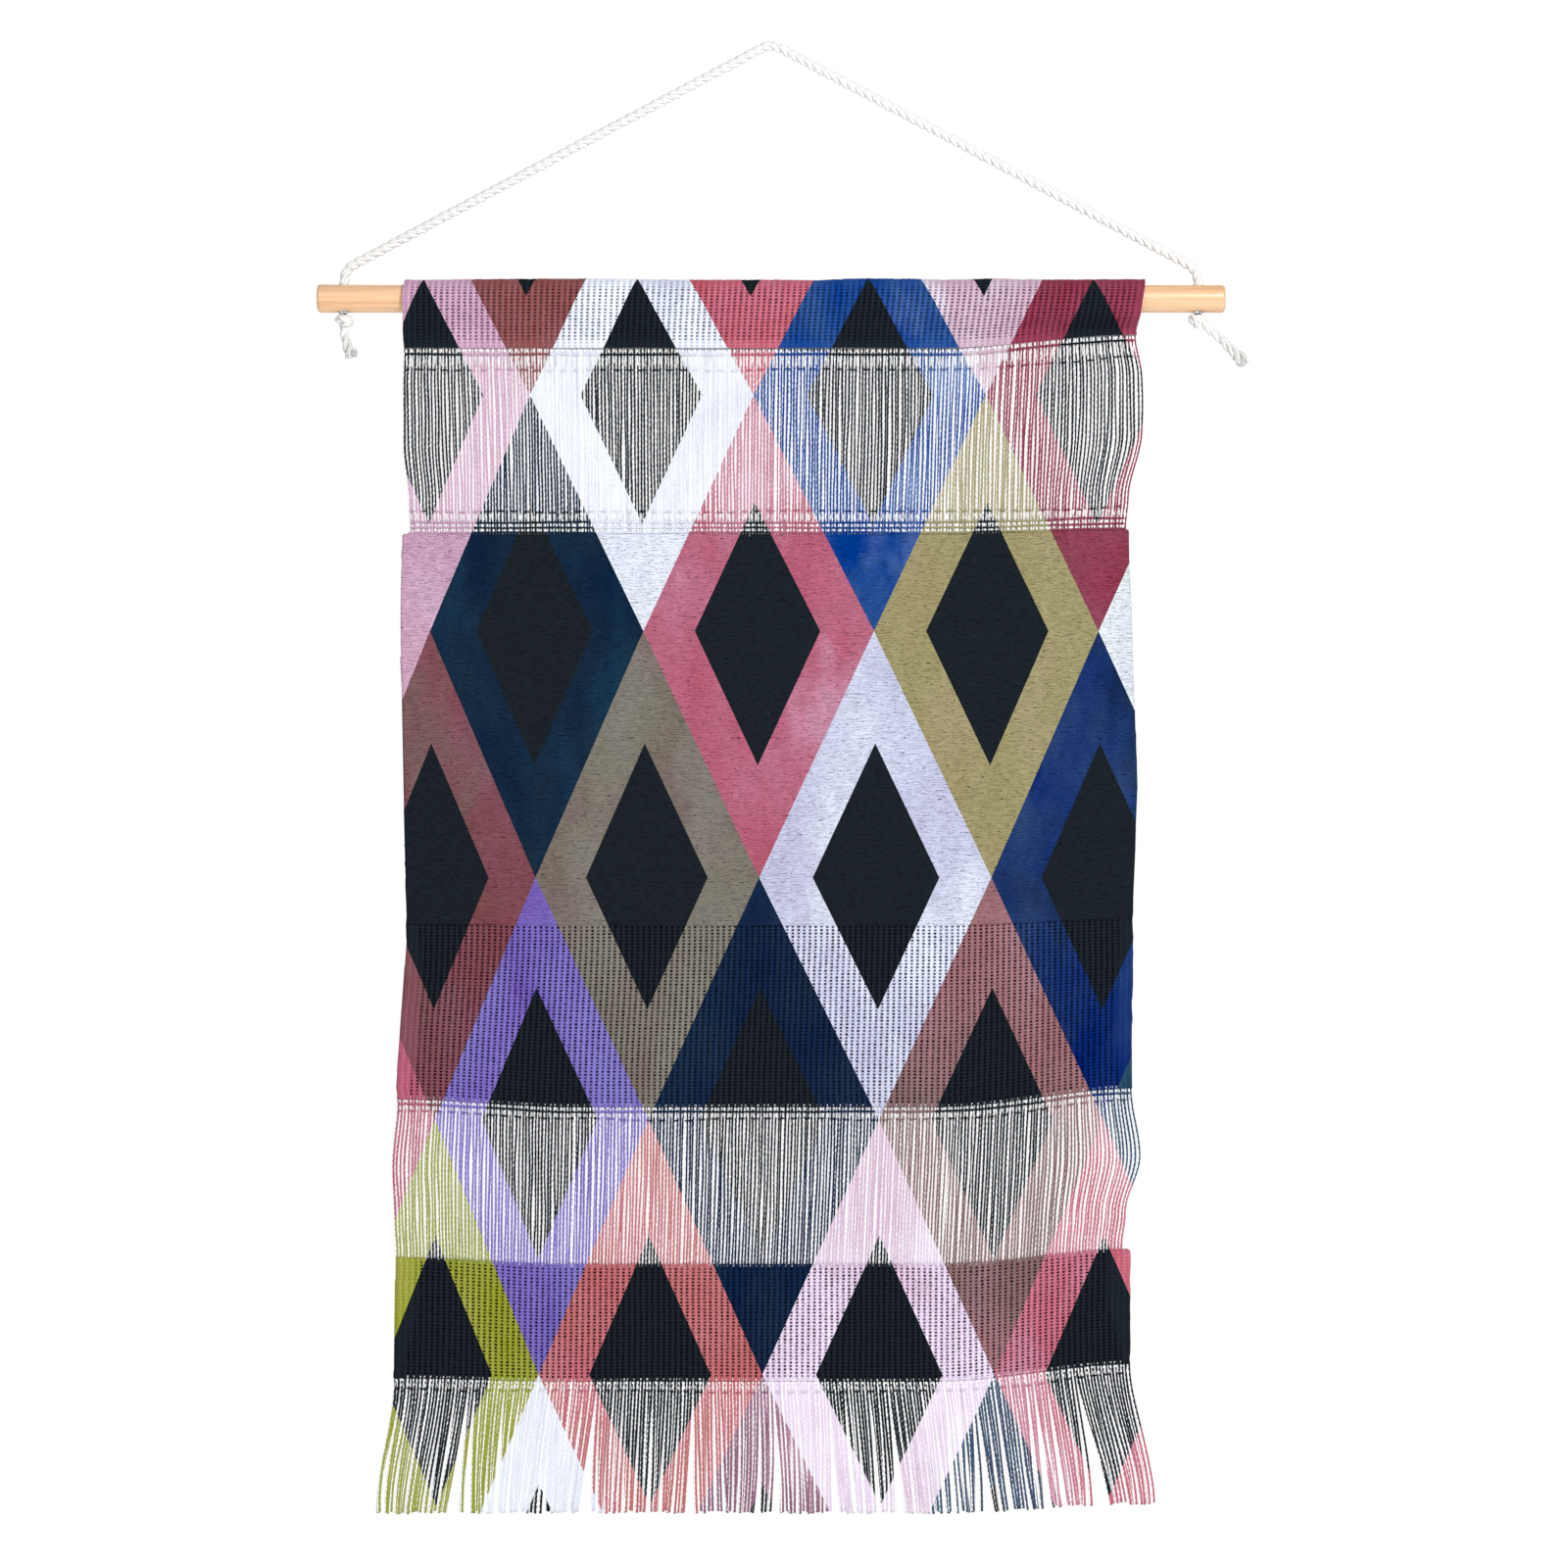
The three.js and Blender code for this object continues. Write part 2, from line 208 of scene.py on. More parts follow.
class HangingSizes(bpy.types.PropertyGroup):
    """Sizes of the yarns and weaves."""

    cell_width: length("Mesh cell width", 2.61, "Distance between holes across the web")
    cell_height: length("Mesh cell height", 1.53, "Distance between holes down the web")
    cell_depth: length("Mesh hole depth", 1.0, "Depth of the holes below the yarns")
    mesh_cloth: length("Mesh cloth thickness", 1.5, "Thickness of the open weave")
    tapestry_cloth: length("Tapestry thickness", 2.0, "Thickness of the tight weave")
    warp_diameter: length("Warp yarn", 1.46, "Width of one bare warp yarn")
    weft_diameter: length("Weft yarn", 0.75, "Width of one single weft yarn")
    nub_width: length("Hem nub width", 0.8, "Width of the bare nubs in the hems")
    yarns: IntProperty(
        name="Warp yarns", description="Number of bare warp yarns across the web", default=224,
        min=20, max=400)
    rope_lay: length("Cord lay", 13.0, "Length of one full turn of the cord's strands")


# ---------------------------------------------------------------------------------------------
# Numbers and meshes
# ---------------------------------------------------------------------------------------------


def smoothstep(low, high, value):
    share = np.clip((value - low) / (high - low), 0, 1)
    return share * share * (3 - 2 * share)


def value_noise(across, along, seed):
    """Smooth noise from -1 to 1 at the given places, one cell per unit."""
    table = np.random.default_rng(seed).uniform(-1, 1, (64, 64))
    i, j = np.floor(across).astype(int), np.floor(along).astype(int)
    u, v = across - i, along - j
    u, v = u * u * (3 - 2 * u), v * v * (3 - 2 * v)
    corner = [[table[(i + a) % 64, (j + b) % 64] for b in (0, 1)] for a in (0, 1)]
    low = corner[0][0] * (1 - u) + corner[1][0] * u
    high = corner[0][1] * (1 - u) + corner[1][1] * u
    return low * (1 - v) + high * v


def from_rows(rows, z):
    """Left and right values of rows of (height, left, right), eased between the heights."""
    heights = np.array([row[0] for row in rows][::-1])
    z = np.clip(z, heights[0], heights[-1])
    row = np.clip(np.searchsorted(heights, z), 1, len(rows) - 1)
    share = smoothstep(0, 1, (z - heights[row - 1]) / (heights[row] - heights[row - 1]))
    values = np.array([row[1:] for row in rows][::-1]) * MM
    both = values[row - 1] + (values[row] - values[row - 1]) * share[..., None]
    return both[..., 0], both[..., 1]


def web_edges(z):
    """Left and right edge of the web at height z, in metres."""
    return from_rows(EDGES, z)


def draw_up(points):
    """Points of the web with its left and right ends drawn up a little, as worn cloth hangs."""
    x, z = points[..., 0], points[..., 2]
    left, right = from_rows(DRAWN_UP, z)
    rise = left * smoothstep(-90, -168, x / MM) + right * smoothstep(75, 166, x / MM)
    return points + np.stack([0 * x, 0 * x, rise], -1)


def drape(x, z):
    """Slow waves of the cloth towards the viewer and the wall, in metres."""
    wave = value_noise(x / 0.06 + 9, z / 0.09 + 7, 3) * 0.9
    return (wave + value_noise(x / 0.022 + 3, z / 0.03 + 5, 4) * 0.35) * MM


def lattice(x, z):
    """Place in the print's lattice: a diamond's middle has whole numbers for both."""
    heights, shifts = np.array(COLUMN_LEAN).T
    x = x - np.interp(z, heights * MM, shifts * MM)
    u = np.interp(x, np.array(COLUMN_X) * MM, np.arange(len(COLUMN_X)))
    first, last = COLUMN_X[1] - COLUMN_X[0], COLUMN_X[-1] - COLUMN_X[-2]
    u = u + np.minimum(x / MM - COLUMN_X[0], 0) / first + np.maximum(x / MM - COLUMN_X[-1], 0) / last
    v = np.interp(z, np.array(ROW_Z)[::-1] * MM, np.arange(len(ROW_Z))[::-1])
    return u, v


def arc_lengths(line):
    """Length along a line at each of its points."""
    return np.concatenate([[0], np.cumsum(np.linalg.norm(np.diff(line, axis=0), axis=1))])


def circle(sides):
    """Evenly spaced angles round a full turn."""
    return np.arange(sides) * 2 * math.pi / sides


def new_object(name, points, faces, smooth=True):
    """Mesh object from an (n, 3) array and a list of integer arrays, one array per face size."""
    mesh = bpy.data.meshes.new(name)
    mesh.vertices.add(len(points))
    mesh.vertices.foreach_set("co", np.asarray(points, np.float32).ravel())
    corners = [np.asarray(block).ravel() for block in faces]
    sizes = np.concatenate([np.full(len(b), np.asarray(b).shape[1]) for b in faces])
    loops = np.concatenate(corners).astype(np.int32)
    mesh.loops.add(len(loops))
    mesh.loops.foreach_set("vertex_index", loops)
    mesh.polygons.add(len(sizes))
    starts = np.concatenate([[0], np.cumsum(sizes)[:-1]]).astype(np.int32)
    mesh.polygons.foreach_set("loop_start", starts)
    mesh.polygons.foreach_set("use_smooth", np.full(len(sizes), smooth))
    mesh.update(calc_edges=True)
    mesh.validate()
    piece = bpy.data.objects.new(name, mesh)
    bpy.context.scene.collection.objects.link(piece)
    return piece


def store(piece, name, values):
    """Keeps one number or vector per point, which the materials read wherever the point moves."""
    values = np.asarray(values, np.float32)
    kind = "FLOAT" if values.ndim == 1 else "FLOAT_VECTOR"
    layer = piece.data.attributes.new(name, kind, "POINT")
    layer.data.foreach_set("value" if kind == "FLOAT" else "vector", values.ravel())


def store_print(piece, points, printed, z_print=None):
    """Stores where each point lies on the flat print, and how far it faces the printing side."""
    z = points[:, 2] if z_print is None else z_print
    u, v = lattice(points[:, 0], z)
    store(piece, "lattice", np.stack([u, v, np.zeros_like(u)], 1))
    store(piece, "rest", np.stack([points[:, 0], points[:, 1], z], 1) / MM)
    store(piece, "printed", printed)


def ring_quads(count, ring):
    """Faces between consecutive rings of points, for count rings."""
    a = np.arange(count - 1)[:, None] * ring
    b = a + ring
    i = np.arange(ring)[None, :]
    j = (i + 1) % ring
    return np.stack([a + i, a + j, b + j, b + i], -1).reshape(-1, 4)


def tubes(name, paths, radii, axes, sides):
    """One closed tube along each path of an (n, rings, 3) array; axes are the section's two."""
    paths = np.asarray(paths)
    count, rings, _ = paths.shape
    angle = circle(sides)
    radii = np.broadcast_to(np.asarray(radii)[..., None, :], (count, rings, 1, 2))
    first, second = (np.asarray(axis, float) for axis in axes)
    section = (radii[..., :1] * np.cos(angle)[:, None] * first
               + radii[..., 1:] * np.sin(angle)[:, None] * second)
    points = (paths[:, :, None, :] + section).reshape(-1, 3)
    one = ring_quads(rings, sides)
    start = np.arange(count)[:, None, None] * rings * sides
    quads = (one[None] + start).reshape(-1, 4)
    caps = np.arange(sides)
    base = np.arange(count)[:, None] * rings * sides
    ends = np.concatenate([caps[::-1][None] + base, caps[None] + base + (rings - 1) * sides])
    piece = new_object(name, points, [quads[:, ::-1], ends[:, ::-1]])
    return piece, points, angle


def line_frames(line):
    """Lengths along a line, and two directions across it that don't spin."""
    along = arc_lengths(line)
    tangent = np.gradient(line, axis=0)
    tangent /= np.linalg.norm(tangent, axis=1)[:, None]
    normal = np.zeros_like(line)
    normal[0] = np.cross(tangent[0], (0.0, 1.0, 0.001))
    normal[0] /= np.linalg.norm(normal[0])
    for i in range(1, len(line)):
        normal[i] = normal[i - 1] - tangent[i] * (normal[i - 1] @ tangent[i])
        normal[i] /= np.linalg.norm(normal[i])
    return along, normal, np.cross(tangent, normal)


def strands(name, line, centre_radius, strand_radius, lay, sides=10, count=3):
    """Twisted strands along a line: each strand winds round it once in the length lay."""
    line = np.asarray(line, float)
    along, normal, side = line_frames(line)
    around = circle(sides)
    centre_radius = np.broadcast_to(centre_radius, len(line))
    strand_radius = np.broadcast_to(strand_radius, len(line))
    points, faces, lie = [], [], []
    for k in range(count):
        turn = 2 * math.pi * (along / lay + k / count)
        out = normal * np.cos(turn)[:, None] + side * np.sin(turn)[:, None]
        across = side * np.cos(turn)[:, None] - normal * np.sin(turn)[:, None]
        middle = line + out * centre_radius[:, None]
        ring = (out[:, None] * np.cos(around)[None, :, None]
                + across[:, None] * np.sin(around)[None, :, None])
        body = middle[:, None] + ring * strand_radius[:, None, None]
        points.append(body.reshape(-1, 3))
        faces.append(ring_quads(len(line), sides) + k * len(line) * sides)
        share = np.tile(np.arange(sides) / sides, len(line))
        lie.append(np.stack([share, np.repeat(along / MM, sides), np.full(len(share), k)], 1))
    caps = [np.arange(sides)[None] + k * len(line) * sides for k in range(count)]
    ends = [c[:, ::-1] + (len(line) - 1) * sides for c in caps]
    piece = new_object(name, np.concatenate(points), [np.concatenate(faces),
                                                      np.concatenate(caps + ends)])
    store(piece, "lie", np.concatenate(lie))
    return piece


def smooth_line(points, spacing):
    """Even points along a centripetal curve through the given ones."""
    points = np.asarray(points, float)
    ends = [2 * points[0] - points[1], *points, 2 * points[-1] - points[-2]]
    line = []
    for p0, p1, p2, p3 in zip(ends, ends[1:], ends[2:], ends[3:]):
        knots = np.cumsum([0] + [np.linalg.norm(b - a) ** 0.5
                                 for a, b in ((p0, p1), (p1, p2), (p2, p3))])
        t = np.linspace(knots[1], knots[2], 24, endpoint=False)[:, None]
        a1 = ((knots[1] - t) * p0 + (t - knots[0]) * p1) / (knots[1] - knots[0])
        a2 = ((knots[2] - t) * p1 + (t - knots[1]) * p2) / (knots[2] - knots[1])
        a3 = ((knots[3] - t) * p2 + (t - knots[2]) * p3) / (knots[3] - knots[2])
        b1 = ((knots[2] - t) * a1 + (t - knots[0]) * a2) / (knots[2] - knots[0])
        b2 = ((knots[3] - t) * a2 + (t - knots[1]) * a3) / (knots[3] - knots[1])
        line.append(((knots[2] - t) * b1 + (t - knots[1]) * b2) / (knots[2] - knots[1]))
    line = np.concatenate([*line, points[-1:]])
    along = arc_lengths(line)
    even = np.linspace(0, along[-1], max(3, round(along[-1] / spacing)))
    return np.stack([np.interp(even, along, line[:, k]) for k in range(3)], 1)


# ---------------------------------------------------------------------------------------------
# Materials
# ---------------------------------------------------------------------------------------------


class Graph:
    """Short way to place nodes and join them in a node tree."""

    def __init__(self, tree):
        self.tree = tree

    def add(self, kind, inputs=None, **settings):
        node = self.tree.nodes.new(kind)
        for key, value in settings.items():
            setattr(node, key, value)
        for key, value in (inputs or {}).items():
            self.feed(node.inputs[key], value)
        return node

    def feed(self, socket, value):
        if isinstance(value, bpy.types.NodeSocket):
            self.tree.links.new(value, socket)
        elif hasattr(value, "__len__") and len(value) == 3 and socket.type == "RGBA":
            socket.default_value = (*value, 1)
        else:
            socket.default_value = value

    def math(self, operation, *values):
        node = self.add("ShaderNodeMath", dict(enumerate(values)), operation=operation)
        return node.outputs[0]

    def plus(self, first, second):
        return self.math("ADD", first, second)

    def minus(self, first, second):
        return self.math("SUBTRACT", first, second)

    def times(self, first, second):
        return self.math("MULTIPLY", first, second)

    def off_middle(self, value):
        """Distance from the middle of the unit cell that the value lies in."""
        return self.math("ABSOLUTE", self.minus(self.math("FRACT", value), 0.5))

    def vector(self, operation, *values):
        node = self.add("ShaderNodeVectorMath", dict(enumerate(values)), operation=operation)
        return node.outputs[0]

    def joined(self, x, y, z=0.0):
        return self.add("ShaderNodeCombineXYZ", {0: x, 1: y, 2: z}).outputs[0]

    def bump(self, shader, strength, distance, height):
        """Sets the shader's normal from a height."""
        node = self.add("ShaderNodeBump", {
            "Strength": strength, "Distance": distance, "Height": height})
        self.feed(shader.inputs["Normal"], node.outputs[0])

    def mix(self, factor, first, second, blend="MIX"):
        node = self.add("ShaderNodeMix", data_type="RGBA", blend_type=blend)
        for index, value in ((0, factor), (6, first), (7, second)):
            self.feed(node.inputs[index], value)
        return node.outputs[2]

    def attribute(self, name, output="Vector"):
        return self.add("ShaderNodeAttribute", attribute_name=name).outputs[output]

    def ramp(self, value, low, high):
        node = self.add("ShaderNodeMapRange", {0: value, 1: low, 2: high, 3: 0.0, 4: 1.0},
                        interpolation_type="SMOOTHSTEP")
        return node.outputs[0]

    def noise(self, vector, scale, detail=3.0, roughness=0.55):
        node = self.add("ShaderNodeTexNoise", {
            "Vector": vector, "Scale": scale, "Detail": detail, "Roughness": roughness})
        return node.outputs["Fac"]

    def scaled(self, vector, factors, shift=(0, 0, 0)):
        node = self.add("ShaderNodeMapping", {"Vector": vector, "Scale": factors,
                                              "Location": shift})
        return node.outputs[0]


def new_group(name, inputs, outputs):
    """Empty shader node group with typed sockets; returns its graph, input and output nodes."""
    tree = bpy.data.node_groups.new(name, "ShaderNodeTree")
    for label, kind, default in inputs:
        socket = tree.interface.new_socket(label, in_out="INPUT", socket_type=kind)
        if default is not None:
            socket.default_value = default
    for label, kind in outputs:
        tree.interface.new_socket(label, in_out="OUTPUT", socket_type=kind)
    graph = Graph(tree)
    return graph, graph.add("NodeGroupInput"), graph.add("NodeGroupOutput")


def row_ramp(graph, position, colours, first_column):
    """Flat steps of colour across one row; each diamond's step covers its two column slots."""
    node = graph.add("ShaderNodeValToRGB", {0: position})
    ramp = node.color_ramp
    ramp.interpolation = "CONSTANT"
    for i, shade in enumerate(colours):
        place = (2 * i + first_column + 1) / COLUMN_SLOTS
        step = ramp.elements[i] if i < 2 else ramp.elements.new(place)
        step.position = place
        step.color = (*shade, 1)
    return node.outputs["Color"]


def argyle_print(paints):
    """Group: the print's colour at a point, its inner diamonds, and watercolour mottling."""
    known = bpy.data.node_groups.get("argyle_print")
    if known:
        return known
    graph, given, out = new_group(
        "argyle_print",
        [("Inner Size", "NodeSocketFloat", 0.545), ("Mottle", "NodeSocketFloat", 1.0)],
        [("Color", "NodeSocketColor"), ("Inner", "NodeSocketFloat")])
    place = graph.add("ShaderNodeSeparateXYZ", {0: graph.attribute("lattice")})
    u, v = place.outputs[0], place.outputs[1]
    total = graph.plus(u, v)
    spread = graph.minus(v, u)
    s = graph.times(total, 0.5)
    t = graph.times(spread, 0.5)
    i, j = graph.math("FLOOR", s), graph.math("FLOOR", t)
    row = graph.plus(graph.plus(i, j), 1.0)
    column = graph.minus(i, j)
    off_s = graph.off_middle(s)
    off_t = graph.off_middle(t)
    reach = graph.times(graph.math("MAXIMUM", off_s, off_t), 2.0)

    # Each diamond takes the clouds of its wash from a place of its own
    shift = graph.joined(graph.times(row, 3.7), graph.times(column, 5.3))
    moved = graph.vector("ADD", graph.attribute("lattice"), shift)
    wash = graph.noise(moved, 1.5, 5.0, 0.62)
    cloud = graph.noise(graph.scaled(moved, (1, 1, 1), (31, 17, 5)), 0.9, 4.0, 0.6)
    paper = graph.noise(moved, 9.0, 4.0, 0.7)
    push = given.outputs["Mottle"]
    clouded = graph.times(graph.ramp(cloud, 0.47, 0.66), 0.75)
    position = graph.math("DIVIDE", graph.plus(column, 1.5), COLUMN_SLOTS)
    shade = None
    for index, (first, pairs) in enumerate(ROW_COLOURS):
        plain, wash_over = ([tuple(getattr(paints, pair[k])) for pair in pairs] for k in (0, 1))
        step = graph.mix(clouded, row_ramp(graph, position, plain, first),
                         row_ramp(graph, position, wash_over, first))
        here = graph.math("GREATER_THAN", row, index - 0.5)
        shade = step if shade is None else graph.mix(here, shade, step)
    swing = graph.minus(wash, 0.5)
    speckle = graph.times(graph.minus(paper, 0.5), 0.25)
    hue = graph.plus(0.5, graph.times(push, graph.times(swing, 0.06)))
    strength = graph.plus(1.0, graph.times(push, graph.times(swing, 0.5)))
    value = graph.plus(1.0, graph.times(push, graph.plus(graph.times(swing, -0.5), speckle)))
    washed = graph.add("ShaderNodeHueSaturation", {"Hue": hue, "Saturation": strength,
                                                   "Value": value, "Color": shade}).outputs[0]

    size = given.outputs["Inner Size"]
    inner = graph.math("LESS_THAN", reach, size)
    graph.feed(out.inputs["Color"], graph.mix(inner, washed, tuple(paints.ink)))
    graph.feed(out.inputs["Inner"], inner)
    return graph.tree


def cotton_twist():
    """Group: the fine twist of cotton yarn, from the place around and along it, with painted shade in
    the grooves between its plies.
    """
    known = bpy.data.node_groups.get("cotton_twist")
    if known:
        return known
    graph, given, out = new_group(
        "cotton_twist",
        [("Turn Length", "NodeSocketFloat", 2.4), ("Plies", "NodeSocketFloat", 2.0)],
        [("Height", "NodeSocketFloat"), ("Shade", "NodeSocketFloat")])
    lie = graph.attribute("lie")
    part = graph.add("ShaderNodeSeparateXYZ", {0: lie})
    around = graph.times(part.outputs[0], given.outputs["Plies"])
    along = graph.math("DIVIDE", part.outputs[1], given.outputs["Turn Length"])
    wobble = graph.times(graph.noise(lie, 0.6, 2.0), 0.6)
    phase = graph.plus(graph.plus(around, along), wobble)
    wave = graph.math("ABSOLUTE", graph.math("SINE", graph.times(phase, math.pi)))
    fuzz = graph.noise(graph.scaled(lie, (14, 3.5, 1)), 1.0, 3.0, 0.7)
    height = graph.plus(graph.times(wave, 0.75), graph.times(fuzz, 0.45))
    # Painted shade: the colour is dimmed in the twist's grooves and kept bright on the plies' crowns.
    shade = graph.plus(0.87, graph.times(graph.math("MINIMUM", height, 1.0), 0.14))
    graph.feed(out.inputs["Height"], height)
    graph.feed(out.inputs["Shade"], shade)
    return graph.tree


def weave_texture():
    """Group: the small bumps of woven cloth and painted shade in the gaps between its rows, at the
    place on the flat web.
    """
    known = bpy.data.node_groups.get("weave_texture")
    if known:
        return known
    graph, given, out = new_group(
        "weave_texture",
        [("Yarn Length", "NodeSocketFloat", 3.0), ("Yarn Height", "NodeSocketFloat", 0.8),
         ("Gap Strength", "NodeSocketFloat", 0.35)],
        [("Height", "NodeSocketFloat"), ("Shade", "NodeSocketFloat")])
    rest = graph.attribute("rest")
    part = graph.add("ShaderNodeSeparateXYZ", {0: rest})
    across = graph.math("DIVIDE", part.outputs[0], given.outputs["Yarn Length"])
    down = graph.math("DIVIDE", part.outputs[2], given.outputs["Yarn Height"])
    place = graph.joined(across, down)
    slub = graph.noise(place, 1.0, 3.0, 0.6)
    fine = graph.noise(place, 2.6, 4.0, 0.75)
    wander = graph.noise(graph.scaled(place, (0.62, 0.34, 1)), 1.0, 3.0, 0.6)
    row = graph.plus(down, graph.times(wander, 3.2))
    off = graph.off_middle(row)
    between = graph.ramp(off, 0.3, 0.49)
    alone = graph.joined(across, graph.times(graph.math("FLOOR", graph.plus(row, 0.5)), 7.3))
    dash = graph.ramp(graph.noise(alone, 1.8, 3.0, 0.6), 0.44, 0.62)
    deep = graph.ramp(graph.noise(alone, 1.7, 1.0), 0.6, 0.7)
    groove = graph.times(between, graph.plus(0.1, graph.times(graph.plus(dash, deep), 0.6)))
    height = graph.minus(graph.plus(slub, graph.times(fine, 0.4)), groove)
    # Painted shade in the grooves between the rows.
    painted_shade = graph.times(groove, given.outputs["Gap Strength"])
    # Raised slubs painted lighter and the rest dimmer: painted light and shade that follow the bumps,
    # and uneven tone of the yarn.
    light = graph.times(graph.minus(graph.plus(slub, graph.times(fine, 0.7)), 0.85), 0.8)
    graph.feed(out.inputs["Height"], height)
    graph.feed(out.inputs["Shade"], graph.plus(graph.minus(0.99, painted_shade), light))
    return graph.tree


def open_weave():
    """Group: rounded yarns crossing over and under, the holes between them, and painted shade:
    lighter on the raised yarns, dimmer in the furrows.
    """
    known = bpy.data.node_groups.get("open_weave")
    if known:
        return known
    graph, given, out = new_group(
        "open_weave",
        [("Hole Width", "NodeSocketFloat", 0.21), ("Hole Height", "NodeSocketFloat", 0.29)],
        [("Height", "NodeSocketFloat"), ("Shade", "NodeSocketFloat"), ("Hole", "NodeSocketFloat")])
    cell = graph.attribute("cell")
    drift = graph.add("ShaderNodeTexNoise", {"Vector": cell, "Scale": 0.7, "Detail": 2.0})
    pushed = graph.vector("SUBTRACT", drift.outputs["Color"], (0.5, 0.5, 0.5))
    pushed = graph.vector("MULTIPLY", pushed, (0.22, 0.3, 0.0))
    moved = graph.vector("ADD", cell, pushed)
    part = graph.add("ShaderNodeSeparateXYZ", {0: moved})
    x, y = part.outputs[0], part.outputs[1]
    own = {"Vector": graph.vector("FLOOR", cell)}
    size = graph.add("ShaderNodeTexWhiteNoise", own).outputs["Value"]
    size = graph.plus(0.8, graph.times(size, 0.4))
    reach = 0.0
    for place, label in ((x, "Hole Width"), (y, "Hole Height")):
        off = graph.off_middle(place)
        share = graph.math("DIVIDE", off, graph.times(given.outputs[label], size))
        reach = graph.plus(reach, graph.math("POWER", share, 2.6))
    hole = graph.minus(1.0, graph.ramp(reach, 0.6, 1.3))
    upright = graph.plus(0.5, graph.times(0.5, graph.math("COSINE", graph.times(x, 2 * math.pi))))
    level = graph.plus(0.5, graph.times(0.5, graph.math("COSINE", graph.times(y, 2 * math.pi))))
    turn = graph.times(graph.math("COSINE", graph.times(x, math.pi)),
                      graph.math("COSINE", graph.times(y, math.pi)))
    upright = graph.times(upright, graph.plus(0.75, graph.times(turn, 0.25)))
    level = graph.times(level, graph.minus(0.55, graph.times(turn, 0.3)))
    fibre = graph.noise(graph.scaled(cell, (5, 3, 1)), 1.0, 3.0, 0.65)
    height = graph.plus(graph.math("MAXIMUM", upright, level), graph.times(fibre, 0.35))
    graph.feed(out.inputs["Height"], height)
    # Painted shade: the colour is made lighter where the yarns stand high and dimmer in the furrows
    # between them.
    graph.feed(out.inputs["Shade"], graph.plus(0.66, graph.times(height, 0.52)))
    # Hole marks where the painted hole shade goes.
    graph.feed(out.inputs["Hole"], graph.times(hole, graph.attribute("hole", "Fac")))
    return graph.tree


def new_material(name):
    """New material with its graph and its Principled shader."""
    material = bpy.data.materials.new(name)
    material.use_nodes = True
    return material, Graph(material.node_tree), material.node_tree.nodes["Principled BSDF"]


def finish_material(name, base, height, distance, roughness=0.95, sheen=0.0):
    """Principled cloth shader in a new material; base and height are given a graph."""
    material, graph, shader = new_material(name)
    graph.feed(shader.inputs["Base Color"], base(graph))
    shader.inputs["Roughness"].default_value = roughness
    shader.inputs["Sheen Weight"].default_value = sheen
    shader.inputs["Sheen Roughness"].default_value = 0.6
    shader.inputs["Specular IOR Level"].default_value = 0.03
    graph.bump(shader, 0.6, distance, height(graph))
    return material


def group_node(graph, tree, **values):
    """Places a group; underscores in the names of its inputs stand for spaces."""
    node = graph.add("ShaderNodeGroup", node_tree=tree)
    for key, value in values.items():
        graph.feed(node.inputs[key.replace("_", " ")], value)
    return node


def times_grey(graph, shade, value):
    grey = graph.add("ShaderNodeCombineColor", {0: value, 1: value, 2: value}).outputs[0]
    return graph.mix(1.0, shade, grey, "MULTIPLY")


def printed_yarn_material(paints):
    """White cotton yarn that carries the print on the side it was printed from."""
    known = bpy.data.materials.get("printed_yarn")
    if known:
        return known

    def base(graph):
        ink = group_node(graph, argyle_print(paints), Mottle=0.6).outputs["Color"]
        twist = group_node(graph, cotton_twist(), Turn_Length=2.4, Plies=2.0)
        face = graph.attribute("printed", "Fac")
        patches = graph.minus(graph.noise(graph.attribute("rest"), 0.9, 3.0), 0.5)
        ragged = graph.plus(face, graph.times(patches, 0.5))
        ragged = graph.plus(ragged, graph.times(graph.minus(twist.outputs["Height"], 0.75), 0.22))
        shown = graph.ramp(ragged, 0.62, 0.76)
        # The twist's painted shade dims the yarn's colour in the grooves between its plies.
        return times_grey(graph, graph.mix(shown, tuple(paints.cotton), ink),
                          twist.outputs["Shade"])

    def height(graph):
        return group_node(graph, cotton_twist(), Turn_Length=2.4, Plies=2.0).outputs["Height"]

    return finish_material("printed_yarn", base, height, 0.25 * MM)


def bare_cotton_material(paints, name, turn_length, plies, distance):
    """White twisted cotton for the cord, its knots and tails, and the seam."""
    known = bpy.data.materials.get(name)
    if known:
        return known

    def base(graph):
        twist = group_node(graph, cotton_twist(), Turn_Length=turn_length, Plies=plies)
        # Cord colour dimmed by the twist's painted shade in the grooves between the plies.
        return times_grey(graph, tuple(paints.cord), twist.outputs["Shade"])

    def height(graph):
        return group_node(graph, cotton_twist(), Turn_Length=turn_length,
                          Plies=plies).outputs["Height"]

    return finish_material(name, base, height, distance, sheen=0.4)


def print_over_cotton(graph, paints):
    """The print, and the cloth's colour: printed on its face, bare cotton with a ghost behind."""
    ink = group_node(graph, argyle_print(paints)).outputs["Color"]
    shown = graph.ramp(graph.attribute("printed", "Fac"), -0.2, 0.2)
    ghost = graph.mix(0.2, tuple(paints.cotton), ink)
    return ink, graph.mix(shown, ghost, ink)


